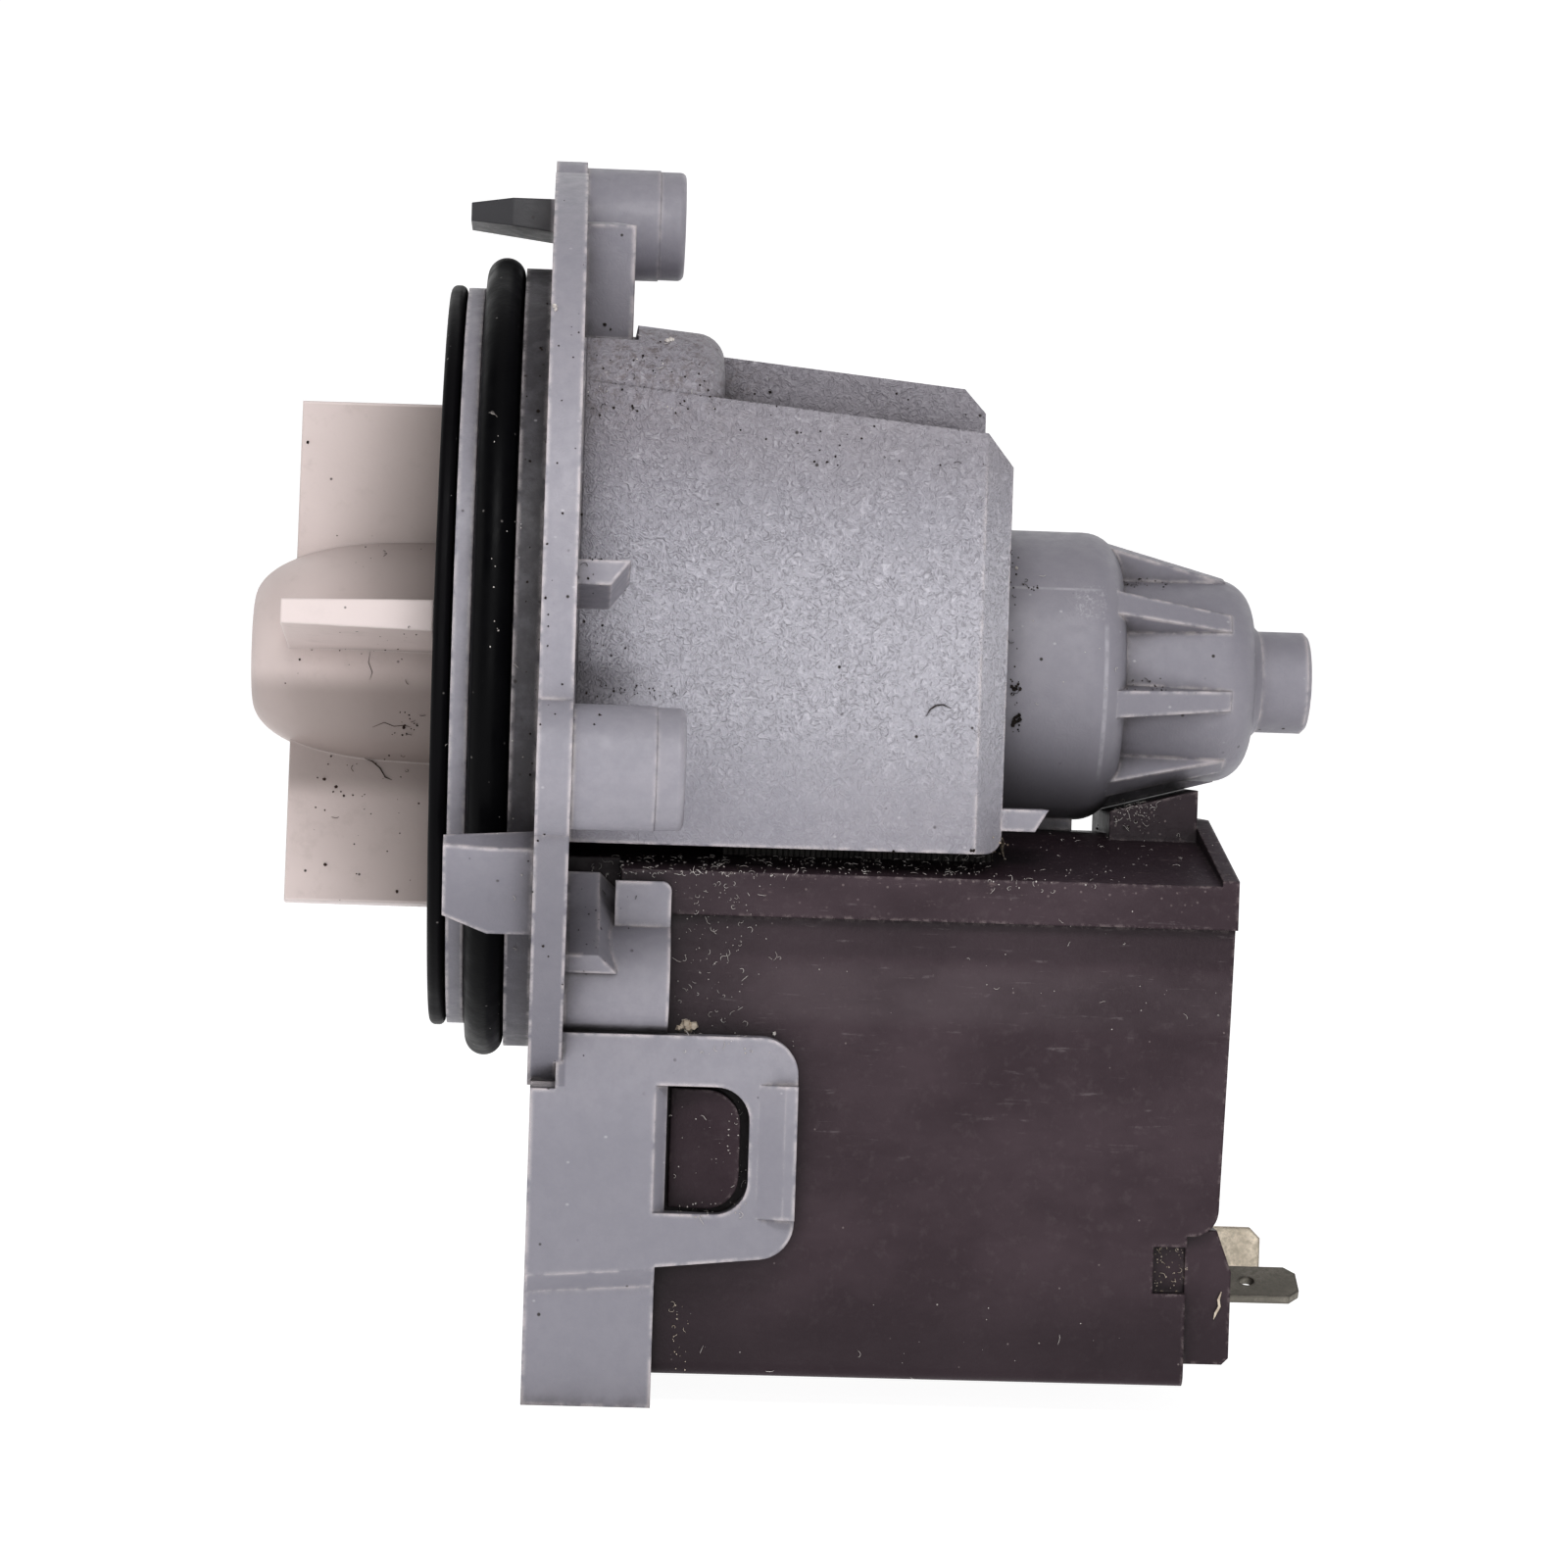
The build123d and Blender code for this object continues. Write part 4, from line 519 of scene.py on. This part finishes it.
def stage_sheet():
    """Floor that curves up into a backdrop, in metres."""
    floor_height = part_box("motor_housing")[0].z
    reach, bend_start, bend_radius, wall_top, bend_steps = 6.0, 0.9, 0.6, 3.0, 16
    profile = [(-reach, 0.0), (bend_start, 0.0)]
    for step in range(1, bend_steps + 1):
        turn = math.pi / 2 * step / bend_steps
        profile.append((bend_start + bend_radius * math.sin(turn), bend_radius - bend_radius * math.cos(turn)))
    profile.append((bend_start + bend_radius, wall_top))
    mesh = bpy.data.meshes.new("stage_sheet")
    points = [(x, y, floor_height + z) for y, z in profile for x in (-reach, reach)]
    faces = [(2 * i, 2 * i + 1, 2 * i + 3, 2 * i + 2) for i in range(len(profile) - 1)]
    mesh.from_pydata(points, [], faces)
    mesh.polygons.foreach_set("use_smooth", [True] * len(faces))
    sheet = bpy.data.objects.new("stage_sheet", mesh)
    bpy.context.scene.collection.objects.link(sheet)
    shade = Shade("stage_white")
    shade.ground(shade.noise(300.0, 2.0), (0.24, 0.24, 0.24), (0.26, 0.26, 0.26))
    shade.shader.inputs["Emission Color"].default_value = (1.0, 1.0, 1.0, 1.0)
    shade.shader.inputs["Emission Strength"].default_value = 0.95
    mesh.materials.append(shade.finish(0.9, specular=0.1))


stage_sheet()

PUMP_MIDDLE = Vector((0.02, 0.0, 0.0))


def soft_light(name, place, size, power, colour=(1.0, 1.0, 1.0)):
    """Softbox turned to the middle of the pump. Place and size in metres, power in watts."""
    light = bpy.data.lights.new(name, "AREA")
    light.shape = "RECTANGLE"
    light.size, light.size_y = size
    light.energy = power
    light.color = colour
    lamp = bpy.data.objects.new(name, light)
    lamp.location = place
    lamp.rotation_euler = (PUMP_MIDDLE - Vector(place)).to_track_quat("-Z", "Y").to_euler()
    bpy.context.scene.collection.objects.link(lamp)


soft_light("front_box", place=(0.02, -1.0, 0.05), size=(0.6, 0.6), power=3.3)
soft_light("left_box", place=(-1.0, -0.15, 0.25), size=(0.5, 0.5), power=1.5, colour=(1.0, 0.98, 0.97))
soft_light("top_box", place=(0.05, -0.1, 1.0), size=(0.8, 0.8), power=0.9, colour=(1.0, 0.97, 0.97))
soft_light("near_box", place=(0.03, -0.24, 0.19), size=(0.16, 0.1), power=0.4)

world = bpy.data.worlds.new("studio")
world.use_nodes = True
world.node_tree.nodes["Background"].inputs["Color"].default_value = (1.0, 1.0, 1.0, 1.0)
world.node_tree.nodes["Background"].inputs["Strength"].default_value = 0.1
bpy.context.scene.world = world
bpy.context.scene.view_settings.view_transform = "Standard"
bpy.context.scene.view_settings.gamma = 0.8

# Camera: where the photograph was taken from, rolled a little
camera = bpy.data.cameras.new("photo_camera")
camera.sensor_width = 36.0
camera.lens = 105.75
camera.clip_start = 0.01
camera_place = Vector((0.0013, -0.435, -0.0044))
camera_aim = Vector((0.0233, 0.0, -0.0111))
roll = math.radians(1.8)
view_ahead = (camera_aim - camera_place).normalized()
view_right = Vector((math.cos(roll), 0.0, math.sin(roll)))
view_right = (view_right - view_ahead * view_right.dot(view_ahead)).normalized()
view_up = view_right.cross(view_ahead)
eye = bpy.data.objects.new("photo_camera", camera)
bpy.context.scene.collection.objects.link(eye)
turn = Matrix((view_right, view_up, -view_ahead)).transposed()
eye.matrix_world = Matrix.Translation(camera_place) @ turn.to_4x4()
bpy.context.scene.camera = eye


# Dust, lint and crumbs, each lying on the surface that the photograph shows it on. The photograph is
# twice HALF_FRAME pixels wide, and nothing lies farther than SIDE_LIMIT from the shaft, in millimetres
HALF_FRAME = 800
SIDE_LIMIT = 48.5
FIBRE_RADIUS = 0.024
surfaces = {}
for name in ("motor_housing", "coil_overmould", "impeller", "o_ring", "back_plate", "stator_core"):
    skin = nodes[name].data
    corners = [vertex.co for vertex in skin.vertices]
    surfaces[name] = BVHTree.FromPolygons(corners, [face.vertices for face in skin.polygons])


def landing(px, py):
    """Place, normal and node where the line of sight through a photograph pixel meets the part."""
    half_view = camera.sensor_width / camera.lens / 2
    right = view_right * (px / HALF_FRAME - 1) * half_view
    up = view_up * (1 - py / HALF_FRAME) * half_view
    way = (view_ahead + right + up).normalized()
    found = None
    for name, tree in surfaces.items():
        place, normal, _, distance = tree.ray_cast(camera_place, way)
        if place is not None and (found is None or distance < found[3]):
            found = (place, normal, name, distance)
    return found


class Litter:
    """Grains and fibres that make one piece on one body. Sizes are in millimetres."""

    def __init__(self, seed):
        self.chance = random.Random(seed)
        self.points = []
        self.faces = []

    def tube(self, path, radius):
        """Four-sided tube along a path, drawn in to a quarter of its radius at both ends."""
        first = len(self.points)
        for index, place in enumerate(path):
            ahead = path[min(index + 1, len(path) - 1)] - path[max(index - 1, 0)]
            side = ahead.orthogonal().normalized()
            other = ahead.cross(side).normalized()
            width = radius * MM * (0.25 if index in (0, len(path) - 1) else 1.0)
            self.points += [place + way * width for way in (side, other, -side, -other)]
        for ring in range(len(path) - 1):
            for side in range(4):
                low = first + 4 * ring
                after = (side + 1) % 4
                self.faces.append((low + side, low + after, low + 4 + after, low + 4 + side))
        last = first + 4 * (len(path) - 1)
        self.faces += [(first + 3, first + 2, first + 1, first), (last, last + 1, last + 2, last + 3)]

    def grain(self, place, normal, size):
        """Uneven five-sided lump, wide at its foot and narrow above."""
        side = normal.orthogonal().normalized()
        other = normal.cross(side)
        first = len(self.points)
        sides = 5
        turn = self.chance.uniform(0, math.pi)
        for ring, lift in ((1.0, 0.05), (0.6, 0.5)):
            for corner in range(sides):
                angle = turn + corner * math.tau / sides
                reach = size * MM * ring * self.chance.uniform(0.35, 0.65)
                outward = (side * math.cos(angle) + other * math.sin(angle)) * reach
                self.points.append(place + outward + normal * size * MM * lift)
        above = first + sides
        for corner in range(sides):
            after = (corner + 1) % sides
            self.faces.append((first + corner, first + after, above + after, above + corner))
        self.faces.append(tuple(above - 1 - i for i in range(sides)))
        self.faces.append(tuple(above + i for i in range(sides)))

    def fibre(self, place, normal, length):
        """Curled fibre that lies on the surface and lifts a little in the middle."""
        side = normal.orthogonal().normalized()
        other = normal.cross(side)
        steps = 7
        heading = self.chance.uniform(0, math.tau)
        bend = self.chance.uniform(-0.7, 0.7)
        path = []
        spot = place.copy()
        for index in range(steps + 1):
            lift = 0.05 + 0.12 * math.sin(math.pi * index / steps) * length
            path.append(spot + normal * lift * MM)
            spot = spot + (side * math.cos(heading) + other * math.sin(heading)) * (length / steps * MM)
            heading += bend + self.chance.uniform(-0.4, 0.4)
        self.tube(path, FIBRE_RADIUS)

    def strand(self, pixels, radius):
        """Hair drawn through photograph pixels, laid on what is behind them."""
        path = []
        for px, py in pixels:
            found = landing(px, py)
            path.append(found[0] + found[1] * radius * MM)
        self.tube(path, radius)

    def sow(self, area, grains, fibres, size, carriers=("motor_housing", "coil_overmould")):
        """Grains and fibres at random over a box of photograph pixels, on the carriers alone."""
        for index in range(grains + fibres):
            found = landing(self.chance.uniform(area[0], area[2]), self.chance.uniform(area[1], area[3]))
            if found is None or found[2] not in carriers or abs(found[0].y) > SIDE_LIMIT * MM:
                continue
            if index < grains:
                self.grain(found[0], found[1], size * self.chance.uniform(0.5, 1.5))
            else:
                self.fibre(found[0], found[1], self.chance.uniform(0.35, 1.0))

    def sow_all(self, places):
        for place in places.values():
            self.sow(*place)

    def drop(self, spots, size):
        """Single grains at given pixels."""
        for px, py in spots:
            found = landing(px, py)
            self.grain(found[0], found[1], size * self.chance.uniform(0.7, 1.4))

    def build(self, name, body, material):
        mesh = bpy.data.meshes.new(name)
        mesh.from_pydata(self.points, [], self.faces)
        mesh.materials.append(material)
        piece = bpy.data.objects.new(name, mesh)
        bpy.context.scene.collection.objects.link(piece)
        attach(piece, body)


def litter_material(name, low, high):
    shade = Shade(name)
    shade.ground(shade.spread(shade.noise(0.9, 4.0, 0.7), 0.3, 0.7), low, high)
    return shade.finish(0.75, shade.relief(shade.noise(0.1, 2.0), 0.01), specular=0.2)


# Each place has the left, top, right and bottom of a box in photograph pixels, the numbers of grains
# and fibres, the size of a grain and, where they aren't the housing and the block, its carriers
pale_places = {
    "block_left_end": ((688, 890, 760, 1060), 80, 40, 0.09),
    "block_left_corner": ((740, 890, 800, 1000), 20, 12, 0.09),
    "gap_under_shroud": (
        (604, 874, 1008, 894), 150, 150, 0.13, ("motor_housing", "coil_overmould", "stator_core")),
    "block_top_edge": ((1010, 888, 1150, 908), 24, 14, 0.13),
    "block_top_face": ((1020, 850, 1240, 885), 16, 14, 0.1),
    "arm_window": ((682, 1110, 760, 1240), 20, 3, 0.09),
    "window_sill": ((690, 1226, 755, 1243), 26, 4, 0.12),
    "window_end": ((742, 1120, 762, 1230), 22, 4, 0.11),
    "arm_top": ((690, 1056, 810, 1076), 8, 8, 0.12),
    "step_top": ((1136, 818, 1184, 834), 50, 16, 0.1),
    "step_face": ((1136, 834, 1184, 848), 14, 6, 0.09),
    "block_upper_face": ((800, 930, 1250, 1060), 20, 8, 0.1),
    "block_lower_face": ((690, 1330, 1200, 1410), 18, 6, 0.1),
    "hood": ((600, 340, 730, 420), 14, 4, 0.12),
    "can": ((1020, 560, 1170, 740), 6, 3, 0.11),
    "ring": ((500, 420, 535, 1050), 22, 5, 0.12, ("o_ring", "motor_housing")),
    "disc_rim": ((450, 330, 478, 1030), 22, 4, 0.12, ("back_plate",)),
}
pale_crumbs = [(684, 347), (687, 347), (681, 348), (566, 313), (567, 316), (1037, 580), (790, 1055)]
pale_dust = Litter(3)
pale_dust.sow_all(pale_places)
pale_dust.drop(pale_crumbs, 0.4)
dust_pale = litter_material("dust_pale", (0.46, 0.42, 0.40), (0.82, 0.79, 0.76))
pale_dust.build("pale_dust", "motor_body", dust_pale)

tan_places = {
    "terminal_notch": ((1178, 1272, 1212, 1320), 46, 8, 0.12),
    "block_foot_corner": ((686, 1330, 702, 1425), 22, 6, 0.12),
    "shroud_foot_corner": ((1010, 852, 1030, 880), 10, 2, 0.2),
}
arm_crumbs = [(696, 1047), (700, 1045), (704, 1046), (708, 1047), (702, 1049), (693, 1049)]
terminal_thread = [(1246, 1318), (1243, 1326), (1244, 1333), (1240, 1340), (1238, 1346)]
shroud_thread = [(1021, 855), (1023, 862), (1022, 869), (1024, 876)]
tan_crumbs = Litter(5)
tan_crumbs.sow_all(tan_places)
tan_crumbs.drop(arm_crumbs, 0.75)
tan_crumbs.strand(terminal_thread, 0.16)
tan_crumbs.strand(shroud_thread, 0.2)
crumb_tan = litter_material("crumb_tan", (0.42, 0.34, 0.26), (0.78, 0.70, 0.60))
tan_crumbs.build("tan_crumbs", "motor_body", crumb_tan)

dark_places = {
    "gap_under_shroud": ((604, 868, 1008, 888), 70, 10, 0.2),
    "behind_standoff": ((590, 880, 650, 1000), 16, 3, 0.1),
    "near_boss_top": ((600, 699, 690, 711), 24, 6, 0.13),
    "hood": ((600, 345, 730, 425), 40, 3, 0.17),
    "rail": ((730, 400, 1010, 480), 26, 2, 0.15),
    "can_root": ((1031, 560, 1040, 750), 26, 5, 0.13),
    "can_root_middle": ((1032, 698, 1042, 708), 10, 2, 0.26),
    "can_root_low": ((1033, 728, 1041, 744), 14, 2, 0.3),
    "can_root_high": ((1044, 592, 1060, 604), 8, 2, 0.16),
    "upper_rib": ((1148, 590, 1190, 600), 16, 4, 0.13),
    "middle_rib": ((1150, 690, 1190, 706), 16, 2, 0.12),
    "flange_edge": ((560, 200, 600, 1100), 22, 0, 0.14),
    "spigot": ((534, 290, 560, 1000), 34, 0, 0.16),
    "shroud_root": ((594, 560, 640, 740), 20, 2, 0.16),
    "below_can": ((1100, 830, 1160, 850), 10, 2, 0.2),
}
dark_crumbs = [(553, 357), (549, 420), (786, 400), (770, 402), (594, 525), (617, 331), (623, 336)]
shroud_hair = [(945, 731), (949, 724), (955, 720), (962, 719), (971, 723)]
dark_dirt = Litter(8)
dark_dirt.sow_all(dark_places)
dark_dirt.drop(dark_crumbs, 0.28)
dark_dirt.strand(shroud_hair, 0.06)
dirt_dark = litter_material("dirt_dark", (0.015, 0.012, 0.011), (0.06, 0.045, 0.04))
dark_dirt.build("dark_dirt", "motor_body", dirt_dark)

wheel = ("impeller",)
hub_places = {
    "hub_middle": ((290, 640, 425, 700), 16, 2, 0.12, wheel),
    "hub_underside": ((320, 765, 430, 835), 22, 4, 0.13, wheel),
    "lower_blade": ((290, 840, 420, 920), 8, 0, 0.12, wheel),
    "hub_top": ((340, 545, 430, 580), 8, 2, 0.11, wheel),
}
hub_clump = ((400, 726, 430, 750), 14, 4, 0.13, wheel)
hub_crumbs = [(314, 451), (306, 673), (412, 742), (331, 795), (343, 803), (351, 812), (332, 882), (405, 910)]
thick_hair = [(372, 773), (380, 777), (388, 784), (393, 793), (400, 796)]
upright_hair = [(378, 664), (376, 676), (380, 686), (377, 694)]
level_hair = [(380, 742), (392, 737), (402, 741), (412, 740), (420, 742)]
hub_dirt = Litter(9)
hub_dirt.sow_all(hub_places)
hub_dirt.drop(hub_crumbs, 0.28)
hub_dirt.strand(thick_hair, 0.07)
hub_dirt.strand(upright_hair, 0.03)
hub_dirt.strand(level_hair, 0.03)
hub_dirt.sow(*hub_clump)
dirt_brown = litter_material("dirt_brown", (0.02, 0.013, 0.011), (0.08, 0.05, 0.04))
hub_dirt.build("hub_dirt", "wheel", dirt_brown)
